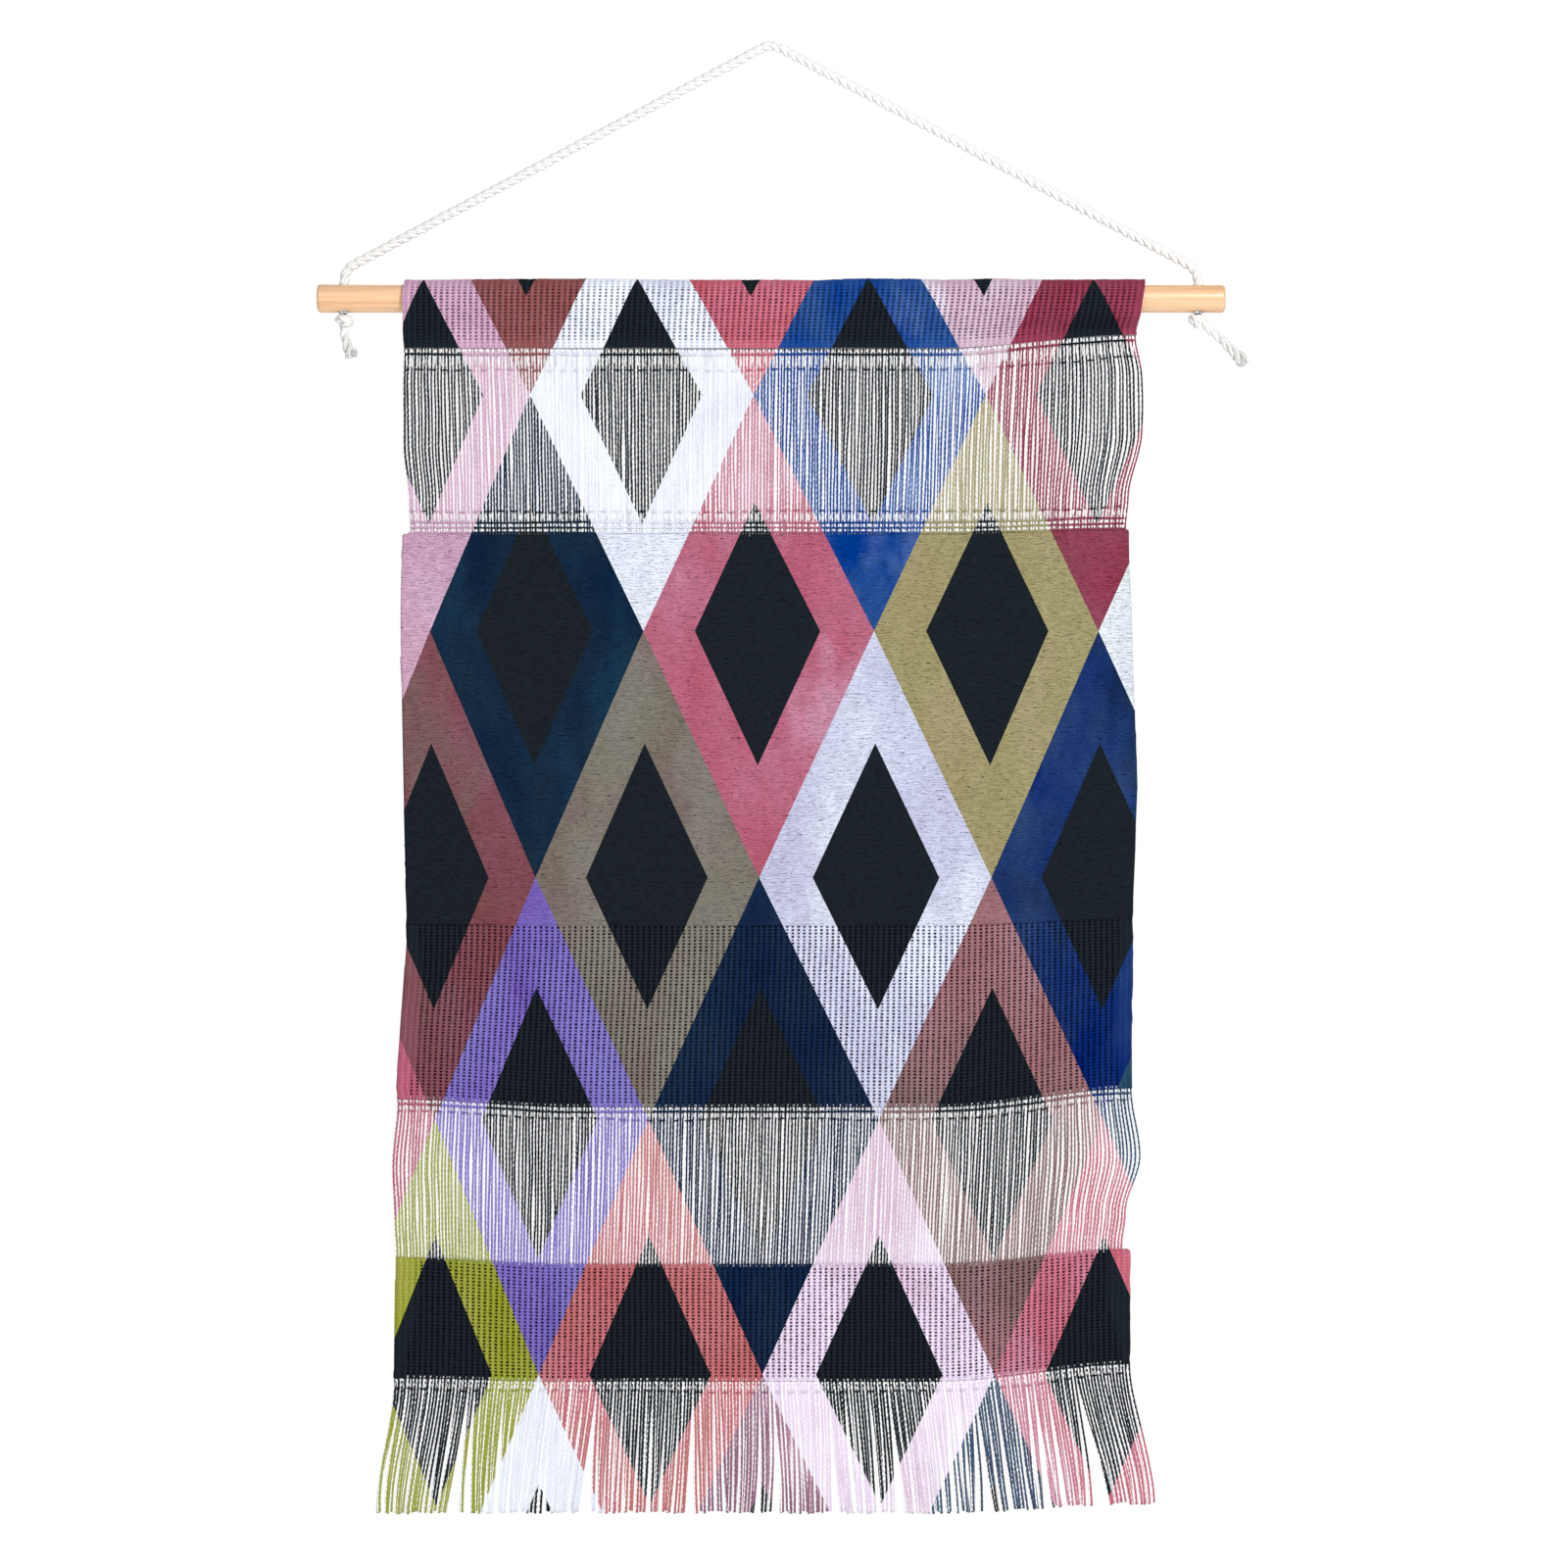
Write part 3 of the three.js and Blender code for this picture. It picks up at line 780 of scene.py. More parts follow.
def mesh_cloth_material(paints):
    """Printed open weave: the print on its face, bare cotton behind, with painted shade in its holes
    and over its yarn relief.
    """

    def base(graph):
        ink, printed = print_over_cotton(graph, paints)
        weave = group_node(graph, open_weave())
        # Painted shade from the open_weave group: the colour is lighter on the raised yarns and
        # dimmer in the furrows.
        cloth = times_grey(graph, printed, weave.outputs["Shade"])
        # Painted hole shade, tinted a little with the print, laid over the holes.
        painted_shade = graph.mix(0.04, tuple(paints.painted_hole_shade), ink)
        return graph.mix(weave.outputs["Hole"], cloth, painted_shade)

    def height(graph):
        return group_node(graph, open_weave()).outputs["Height"]

    known = bpy.data.materials.get("mesh_cloth")
    return known or finish_material("mesh_cloth", base, height, 0.8 * MM)


def tight_cloth_material(paints):
    """Printed tapestry weave: the print on its face, bare cotton behind, with painted shade in the
    gaps between its rows.
    """

    def base(graph):
        _, printed = print_over_cotton(graph, paints)
        weave = group_node(graph, weave_texture(), Yarn_Length=3.6, Yarn_Height=1.25,
                           Gap_Strength=0.66)
        # The print dimmed by painted shade in the row gaps and lightened on raised slubs.
        return times_grey(graph, printed, weave.outputs["Shade"])

    def height(graph):
        return group_node(graph, weave_texture(), Yarn_Length=3.6,
                          Yarn_Height=1.25).outputs["Height"]

    return finish_material("tight_cloth", base, height, 1.2 * MM)


def wood_material(paints):
    """Pale planed wood with fine streaks along the dowel and a satin coat."""
    material, graph, shader = new_material("dowel_wood")
    place = graph.add("ShaderNodeTexCoord").outputs["Object"]
    streak = graph.noise(graph.scaled(place, (14, 900, 900)), 1.0, 5.0, 0.65)
    broad = graph.noise(graph.scaled(place, (5, 160, 160), (2, 1, 3)), 1.0, 3.0)
    pores = graph.ramp(graph.noise(graph.scaled(place, (60, 2600, 2600)), 1.0, 2.0), 0.66, 0.76)
    grain = graph.ramp(graph.plus(graph.times(streak, 0.6), graph.times(broad, 0.4)), 0.36, 0.68)
    shade = graph.mix(grain, tuple(paints.wood), tuple(paints.wood_streak))
    shade = graph.mix(graph.times(pores, 0.35), shade, (0.42, 0.25, 0.13))
    graph.feed(shader.inputs["Base Color"], shade)
    graph.feed(shader.inputs["Roughness"], graph.plus(0.34, graph.times(streak, 0.16)))
    shader.inputs["Coat Weight"].default_value = 0.25
    shader.inputs["Coat Roughness"].default_value = 0.22
    relief = graph.minus(streak, graph.times(pores, 0.6))
    graph.bump(shader, 0.25, 0.12 * MM, relief)
    return material


def settings(context):
    """The sizes and paints that the sidebar shows."""
    return context.scene.hanging_sizes, context.scene.hanging_colours


def paint(piece, material):
    """Gives a piece its material."""
    piece.data.materials.append(material)


# ---------------------------------------------------------------------------------------------
# Woven sheets
# ---------------------------------------------------------------------------------------------

CELL_RELIEF = ((0.34, 0.24, 0.24), (0.12, -0.6, -0.6), (0.12, -0.6, -0.6))


def cell_relief(columns, rows):
    """Height of the yarns on a grid of woven cells, three points each way in a cell."""
    relief = np.tile(np.array(CELL_RELIEF), (rows, columns))
    relief = np.concatenate([relief, relief[:, :1]], 1)
    return np.concatenate([relief, relief[:1]])


def cells_from_side(columns):
    """How many cells each column of points lies from the nearer side edge."""
    place = np.arange(columns * CELL_STEPS + 1)
    return np.minimum(place, place[::-1]) / CELL_STEPS


def fade_holes(relief, keep):
    """Where keep is 0 the holes close and the cloth is solid."""
    return np.where(relief < 0, relief * keep + 0.1 * (1 - keep), relief)


def sheet_mesh(name, front, back, printed, hole, z_print=None):
    """Closed sheet: each column's section runs down the front rows and up the back rows."""
    if z_print is not None:
        z_print = z_print - np.concatenate([front, back], 0)[..., 2]
    front, back = draw_up(front), draw_up(back)
    if z_print is not None:
        z_print = z_print + np.concatenate([front, back], 0)[..., 2]
    ring = np.concatenate([front, back], 0).transpose(1, 0, 2)
    columns, count, _ = ring.shape
    points = ring.reshape(-1, 3)
    first = np.arange(count)[None]
    last = first[:, ::-1] + (columns - 1) * count
    piece = new_object(name, points, [ring_quads(columns, count)[:, ::-1], first, last])
    masks = np.concatenate([printed, np.full(back.shape[:2], -1.0)], 0).T.ravel()
    store_print(piece, points, masks, None if z_print is None else z_print.T.ravel())
    # Where the holes are, and how strongly their painted shade shows; the back has none.
    store(piece, "hole", np.concatenate([hole, np.zeros(back.shape[:2])], 0).T.ravel())
    down = np.concatenate([np.arange(len(front)), np.linspace(len(front) - 1, 0, len(back))])
    down = down / CELL_STEPS
    across = np.repeat(np.arange(columns) / CELL_STEPS, count)
    store(piece, "cell", np.stack([across, np.tile(down, columns), 0 * across], 1))
    return piece


def panel_points(z, columns):
    """Points of a flat panel's middle plane for the given heights, with its true side edges."""
    left, right = web_edges(z)
    share = np.linspace(0, 1, columns)
    x = left[:, None] + (right - left)[:, None] * share[None]
    wander = value_noise(x / 0.03, z[:, None] / 0.02, 11) * 0.25 * MM
    ragged = value_noise(np.zeros_like(x), z[:, None] / 0.004, 12) * 0.3 * MM
    inside = np.minimum(share, 1 - share) * (columns / 12)
    x = x + wander * np.clip(inside, 0, 1)[None] + ragged * np.clip(1 - inside, 0, 1)[None]
    return x, np.broadcast_to(z[:, None], x.shape)


def mesh_panel(name, top, bottom, sizes):
    """Open-weave panel whose holes are pits between raised yarns; the side edges are solid."""
    low, high = web_edges(np.array([(top + bottom) / 2]))
    columns = round(float(high[0] - low[0]) / sizes.cell_width)
    rows = round((top - bottom) / sizes.cell_height)
    relief = cell_relief(columns, rows)
    z = np.linspace(top, bottom, rows * CELL_STEPS + 1)
    x, zz = panel_points(z, columns * CELL_STEPS + 1)
    zz = zz + value_noise(x / 0.05, zz / 0.05, 15) * 0.35 * MM
    zz[0], zz[-1] = top, bottom
    from_side = cells_from_side(columns)
    edge = 2.4 + 1.4 * value_noise(zz / 0.03, x * 0, 16)
    keep = smoothstep(edge - 0.6, edge + 0.6, np.broadcast_to(from_side, x.shape))
    relief = fade_holes(relief, keep)
    bump = value_noise(x / 0.0016, zz / 0.0016, 17) * 0.1
    half = sizes.mesh_cloth / 2
    lift = (relief + bump) * sizes.cell_depth
    y = drape(x, zz) - half - lift
    front = np.stack([x, y, zz], -1)
    back_rows = np.linspace(len(z) - 1, 0, rows // 2).astype(int)
    back = np.stack([x, drape(x, zz) + half + 0 * x, zz], -1)[back_rows]
    return sheet_mesh(name, front, back, np.ones(x.shape), keep)


def tapestry_panel(name, top, bottom, sizes):
    """Tight weft-faced panel: short raised yarns in rows, over slow lumps in the cloth."""
    columns, rows, rows_behind = 300, 222, 90
    z = np.linspace(top, bottom, rows)
    x, zz = panel_points(z, columns)
    zz = zz.copy()
    row = np.arange(rows)[:, None]
    slub = value_noise(x / 0.004 + row * 0.37, row * 0.55, 21)
    lump = value_noise(x / 0.011 + zz / 0.009, zz / 0.005, 22)
    rib = np.where(row % 2 == 0, 0.08, -0.08)
    lift = (slub * 0.38 + lump * 0.34 + rib) * MM
    half = sizes.tapestry_cloth / 2
    y = drape(x, zz) - half - lift
    front = np.stack([x, y, zz], -1)
    back_rows = np.linspace(rows - 1, 0, rows_behind).astype(int)
    rough = value_noise(x / 0.003, zz / 0.002, 23) * 0.15 * MM
    back = np.stack([x, drape(x, zz) + half + rough, zz], -1)[back_rows]
    return sheet_mesh(name, front, back, np.ones(x.shape), np.zeros(x.shape))


def sleeve_section(inset, count):
    """Evenly spaced section of the pocket, front lower edge to back lower edge, as (y, z)."""
    outer = POCKET_HIGH.y - inset
    seam = 0.9 * MM + (0.9 * MM - inset * 0.5)
    low = POCKET_LOW.z
    seam_top = low + 2.5 * MM
    drop = AXIS_Z - seam_top
    touch = math.atan2(-drop, seam) + math.acos(outer / math.hypot(seam, drop))
    arc = np.linspace(math.pi - touch, touch, 60)
    right = np.stack([outer * np.cos(arc), AXIS_Z + outer * np.sin(arc)], 1)
    line = np.concatenate([[[-seam, low], [-seam, seam_top]], right, [[seam, seam_top], [seam, low]]])
    along = arc_lengths(line)
    even = np.linspace(0, along[-1], count)
    section = np.stack([np.interp(even, along, line[:, k]) for k in (0, 1)], 1)
    return section, even


def pocket_sheet(name, sizes):
    """Open-weave sleeve round the dowel, with its front and back layers meeting at the seam."""
    columns = round((POCKET_HIGH.x - POCKET_LOW.x) / sizes.cell_width)
    _, along = sleeve_section(0, 10)
    rows = round(along[-1] / sizes.cell_height)
    section, along = sleeve_section(0, rows * CELL_STEPS + 1)
    relief = cell_relief(columns, rows)
    tangent = np.gradient(section, axis=0)
    tangent /= np.linalg.norm(tangent, axis=1)[:, None]
    outward = np.stack([-tangent[:, 1], tangent[:, 0]], 1)
    left, right = web_edges(section[:, 1])
    share = np.linspace(0, 1, columns * CELL_STEPS + 1)
    x = left[:, None] + (right - left)[:, None] * share[None]
    ragged = value_noise(along[:, None] / 0.004, 0 * x, 31) * 0.4 * MM
    from_side = cells_from_side(columns)
    x = x + ragged * np.clip(1 - from_side / 3, 0, 1)[None]
    crown = smoothstep(AXIS_Z + 3.6 * MM, AXIS_Z + 6 * MM, section[:, 1])[:, None]
    foot = smoothstep(POCKET_LOW.z + 4.5 * MM, POCKET_LOW.z + 2 * MM, section[:, 1])[:, None]
    keep = smoothstep(0.8, 2.0, np.broadcast_to(from_side, x.shape)) * (1 - 0.7 * crown)
    keep = keep * (1 - foot)
    relief = fade_holes(relief, keep)
    slack = smoothstep(AXIS_Z + 4 * MM, AXIS_Z - 6 * MM, section[:, 1])[:, None]
    wrinkle = value_noise(x / 0.016 + 5, along[:, None] / 0.0036, 33) * 0.62
    wave = value_noise(x / 0.02, along[:, None] / 0.02, 34) * 0.45
    weave = value_noise(x / 0.0026 + 2, along[:, None] / 0.0015, 35) * 0.16
    lift = relief * sizes.cell_depth * 0.8 + (wrinkle * slack + wave + weave) * MM
    thin = smoothstep(POCKET_LOW.z + 9 * MM, POCKET_LOW.z + 5 * MM, section[:, 1])[:, None]
    lift = np.maximum(lift, (0.55 * thin - 0.9) * MM)
    y = section[:, 0][:, None] + outward[:, 0][:, None] * lift
    z = section[:, 1][:, None] + outward[:, 1][:, None] * lift
    front = np.stack([x, y, z], -1)
    inner_rows = 40
    inner, _ = sleeve_section(1.7 * MM, inner_rows)
    inner = inner[::-1]
    pick = np.linspace(len(section) - 1, 0, inner_rows).astype(int)
    inside = np.broadcast_to(inner[:, None], (inner_rows, len(share), 2))
    back = np.concatenate([x[pick][..., None], inside], -1)
    top = np.argmax(section[:, 1])
    flat = np.where(np.arange(len(along)) < top, section[:, 1],
                    section[top, 1] + along - along[top])
    z_print = np.concatenate([np.broadcast_to(flat[:, None], x.shape), inside[..., 1]], 0)
    # The pocket's holes carry their painted shade at 0.78 strength.
    return sheet_mesh(name, front, back, np.ones(x.shape), keep * 0.78, z_print)


# ---------------------------------------------------------------------------------------------
# Yarns
# ---------------------------------------------------------------------------------------------


def warp_paths(top, bottom, rings, sizes, seed, sway, free_end=False):
    """Paths of the bare warp yarns between two heights; they sway together and a little alone."""
    count = sizes.yarns
    z = np.linspace(top, bottom, rings)
    left, right = web_edges(np.clip(z, bottom if free_end else bottom + 3.2 * MM, top - 3.2 * MM))
    share = (np.arange(count)[:, None] + 0.5) / count
    depth = (z[0] - z) / (z[0] - z[-1])
    straight_left = left[0] + (left[-1] - left[0]) * depth
    straight_right = right[0] + (right[-1] - right[0]) * depth
    x = straight_left + (straight_right - straight_left) * share
    x = x + (left - straight_left) * np.clip(1 - share * 7, 0, 1) ** 1.5
    x = x + (right - straight_right) * np.clip(1 - (1 - share) * 7, 0, 1) ** 1.5
    held = depth[None] if free_end else np.sin(math.pi * depth)[None]
    draw = np.random.default_rng(seed)
    own = np.arange(count)[:, None] * 7.31
    together = value_noise(x / 0.028, z[None] / 0.09, seed + 1) * sway
    alone = value_noise(own, z[None] / 0.023, seed + 2) * 0.5 * MM
    x = x + (together + alone) * held
    y = drape(x, np.broadcast_to(z, x.shape))
    y = y + value_noise(own + 3, z[None] / 0.02, seed + 3) * 0.4 * MM * np.minimum(1, held * 3)
    y = y + draw.uniform(-0.12, 0.12, (count, 1)) * MM
    return np.stack([x, y, np.broadcast_to(z, x.shape)], -1)


def yarn_mesh(name, paths, diameter, sides=8, flat=0.62):
    """Vertical yarns with their place around and along them, and their printed side."""
    radii = np.array([diameter / 2, diameter / 2 * flat])
    paths = draw_up(paths)
    piece, points, angle = tubes(name, paths, radii, ((1, 0, 0), (0, 1, 0)), sides)
    count, rings, _ = np.shape(paths)
    tilt = np.random.default_rng(18).normal(0, 0.16, (count, 1)) + 0.24
    tilt = tilt + value_noise(np.arange(count)[:, None] * 5.7, paths[0][None, :, 2] / 0.03, 20) * 0.22
    facing = -np.sin(angle - tilt[..., None])
    store_print(piece, points, facing.ravel())
    along = np.repeat(np.tile((paths[0][:1, 2] - paths[0][:, 2]) / MM, count), sides)
    index = np.repeat(np.arange(count), rings * sides)
    around = np.tile(np.arange(sides) / sides, count * rings)
    phase = np.random.default_rng(19).uniform(0, 50, count)[index]
    store(piece, "lie", np.stack([around, along + phase, index], 1))
    return piece


def cross_mesh(name, paths, diameter, printed=1.0, sides=6):
    """Yarns that run across the web, each along its own path."""
    radii = np.full(2, diameter / 2)
    paths = draw_up(np.asarray(paths))
    piece, points, _ = tubes(name, paths, radii, ((0, 1, 0), (0, 0, 1)), sides)
    count, rings, _ = np.shape(paths)
    store_print(piece, points, np.full(len(points), printed))
    along = np.repeat(np.asarray(paths)[..., 0].ravel() / MM, sides)
    around = np.tile(np.arange(sides) / sides, count * rings)
    store(piece, "lie", np.stack([around, along, np.zeros(len(along))], 1))
    return piece


def weft_path(height, sizes, seed, sag=0.7, depth=0.75):
    """One weft yarn across the web: over two warp yarns, then under two."""
    left, right = web_edges(np.array([height]))
    x = np.linspace(left[0] + 1 * MM, right[0] - 1 * MM, sizes.yarns * 3)
    share = (x - left[0]) / (right[0] - left[0])
    wave = np.sin(share * sizes.yarns * math.pi / 2)
    z = height + value_noise(x / 0.02, x * 0, seed) * sag * MM
    y = drape(x, z) - (0.85 + np.clip(wave * 2.2, -1, 1) * depth - depth) * MM
    return np.stack([x, y, z], -1)[None]


def hem_nubs(name, rows, sizes, seed):
    """Bare nubs of warp between the hem's weft yarns, one or two in each cell of the weave."""
    draw = np.random.default_rng(seed)
    share = np.linspace(0, 1, 7)
    round_off = np.sqrt(np.clip(1 - (2 * share - 1) ** 6, 0.05, 1))
    paths, radii = [], []
    for high, low, legs in rows:
        left, right = web_edges(np.array([high]))
        count = round(float(right[0] - left[0]) / sizes.cell_width)
        wide = sizes.nub_width * (1.0 if legs == 1 else 0.42)
        for leg in range(legs):
            offset = (leg - (legs - 1) / 2) * sizes.nub_width * 0.95
            x = left[0] + (np.arange(count) + 0.5) / count * (right[0] - left[0]) + offset
            for middle in x:
                lean = -np.sign(offset) * 0.2 * MM * (1 - share) + draw.normal(0, 0.12) * MM
                path_x = middle + lean + draw.normal(0, 0.14) * MM * share
                full = low + abs(draw.normal(0, 0.14)) * (high - low) * (legs - 1)
                path_z = high + (full - high) * share + draw.normal(0, 0.12) * MM
                path_y = drape(path_x, path_z) - 0.55 * MM
                paths.append(np.stack([path_x, path_y, path_z], -1))
                radii.append(np.stack([round_off * wide, round_off * 0.8 * MM], -1)
                             * draw.uniform(0.42, 0.54))
    paths = draw_up(np.array(paths))
    piece, points, _ = tubes(name, paths, np.array(radii), ((1, 0, 0), (0, 1, 0)), 8)
    store_print(piece, points, np.full(len(points), 0.1))
    store(piece, "lie", points / MM)
    return piece


def hem_wefts(name, heights, sizes, seed):
    """Printed weft yarns of a hem, lying over the warp, with bare nubs between them."""
    paths = np.concatenate([weft_path(z, sizes, seed + k, 0.3, 0.2)
                            for k, z in enumerate(heights)])
    return cross_mesh(name, paths, sizes.weft_diameter * 1.25)


def open_band(band, top, bottom, sizes, paints, wefts, nubs, extra, seed, sway):
    """Bare warp yarns between two woven bands, with their weft yarns and hems."""
    paths = warp_paths(top + TUCK, bottom - TUCK, 34, sizes, seed, sway)
    yarns = yarn_mesh(f"{band}_warp_yarns", paths, sizes.warp_diameter)
    paint(yarns, printed_yarn_material(paints))
    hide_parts(*[f"{band}_warp_{end}_{n}" for end in ("top", "bottom") for n in range(1, 5)])
    pieces = [yarns]
    for node, height in wefts:
        weft = cross_mesh(node + "_yarn", weft_path(height, sizes, seed + 5), sizes.weft_diameter)
        paint(weft, printed_yarn_material(paints))
        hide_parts(node)
        pieces.append(weft)
    hem = hem_nubs(f"{band}_hem_nubs", nubs, sizes, seed + 6)
    paint(hem, printed_yarn_material(paints))
    rows = hem_wefts(f"{band}_hem_wefts", extra, sizes, seed + 7)
    paint(rows, printed_yarn_material(paints))
    pieces += [hem, rows]
    for piece in pieces:
        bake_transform(piece)
    return pieces


def middle_heights(*nodes):
    """Each node with the height of its box's middle."""
    return [(node, (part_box(node)[0].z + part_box(node)[1].z) / 2) for node in nodes]


def fringe_paths(sizes):
    """Paths of the fringe yarns: they part into locks towards their free ends."""
    top = LOWER_LOW.z
    paths = warp_paths(top + TUCK, FRINGE_END + 0.8 * MM, 26, sizes, 61, 2.2 * MM, True)
    x, z = paths[..., 0], paths[..., 2]
    depth = np.clip((top - z) / (top - FRINGE_END), 0, 1)
    parts = np.array(FRINGE_PARTS) * MM
    end = x[:, -1]
    lock = np.searchsorted(parts, end)
    bounds = np.concatenate([[end.min() - 3 * MM], parts, [end.max() + 3 * MM]])
    middle = (bounds[lock] + bounds[lock + 1]) / 2
    half = (bounds[lock + 1] - bounds[lock]) / 2
    squeeze = 1 - (2.5 * MM / half)[:, None] * depth ** 1.5
    x = middle[:, None] + (x - middle[:, None]) * squeeze
    draw = np.random.default_rng(63)
    lean = draw.uniform(-1.6, 1.6, len(bounds) - 1)[lock][:, None] * MM * depth ** 2
    cross = draw.standard_t(3, (len(x), 1)).clip(-4, 4) * 0.75 * MM * depth ** 1.3
    cut = draw.uniform(-0.8, 0.6, (len(x), 1)) * MM * depth
    y = paths[..., 1] + draw.normal(0, 0.45, (len(x), 1)) * MM * depth
    return np.stack([x + cross + lean, y, z + cut], -1)


# ---------------------------------------------------------------------------------------------
# Operators
# ---------------------------------------------------------------------------------------------


class HANGING_OT_stage(bpy.types.Operator):
    """Camera, soft studio lights, white surroundings and a pale floor"""

    bl_idname = "hanging.stage"
    bl_label = "Stage"

    def execute(self, context):
        paints = context.scene.hanging_colours
        self.add_camera(context)
        self.add_lights(context, paints)
        self.add_floor(paints)
        return {"FINISHED"}

    def add_camera(self, context):
        lens, sensor, picture, middle = 100.0, 36.0, 0.709, Vector((0.0058, 0, -0.3315))
        data = bpy.data.cameras.new("camera")
        data.lens, data.sensor_width = lens, sensor
        camera = bpy.data.objects.new("camera", data)
        camera.location = middle + Vector((0, -picture * lens / sensor, 0))
        camera.rotation_euler = (math.pi / 2, 0, 0)
        context.scene.collection.objects.link(camera)
        context.scene.camera = camera

    def add_lights(self, context, paints):
        aim = Vector((0, 0, -0.35))
        for name, place, size, power in (
                ("key", (0.75, -1.7, 0.55), 0.7, 36), ("fill", (-1.5, -1.9, -0.2), 1.6, 8),
                ("behind", (0.3, 1.9, 0.7), 1.4, 24)):
            data = bpy.data.lights.new(name, "AREA")
            data.size, data.energy = size, power
            light = bpy.data.objects.new(name, data)
            light.location = place
            light.rotation_euler = (aim - Vector(place)).to_track_quat("-Z", "Y").to_euler()
            context.scene.collection.objects.link(light)
        world = bpy.data.worlds.new("soft_white")
        world.use_nodes = True
        graph = Graph(world.node_tree)
        lighting = world.node_tree.nodes["Background"]
        lighting.inputs["Color"].default_value = (1, 1, 1, 1)
        lighting.inputs["Strength"].default_value = 0.32
        seen = graph.add("ShaderNodeBackground", {"Color": tuple(paints.backdrop)})
        seen_directly = graph.add("ShaderNodeLightPath").outputs["Is Camera Ray"]
        both = graph.add("ShaderNodeMixShader", {0: seen_directly, 1: lighting.outputs[0],
                                                 2: seen.outputs[0]})
        graph.feed(world.node_tree.nodes["World Output"].inputs["Surface"], both.outputs[0])
        context.scene.world = world
        context.scene.view_settings.view_transform = "Standard"

    def add_floor(self, paints):
        z, half = FRINGE_END - 0.45, 2.2
        corners = [(-half, -half, z), (half, -half, z), (half, half, z), (-half, half, z)]
        floor = new_object("floor", corners, [np.array([[0, 1, 2, 3]])], False)
        material, graph, shader = new_material("floor_plaster")
        grain = graph.noise(graph.add("ShaderNodeTexCoord").outputs["Object"], 60.0, 3.0)
        tone = graph.plus(0.97, graph.times(grain, 0.03))
        graph.feed(shader.inputs["Base Color"], times_grey(graph, tuple(paints.floor), tone))
        shader.inputs["Roughness"].default_value = 0.95
        shader.inputs["Specular IOR Level"].default_value = 0.1
        shader.inputs["Emission Color"].default_value = (1, 1, 1, 1)
        shader.inputs["Emission Strength"].default_value = 0.4
        floor.data.materials.append(material)


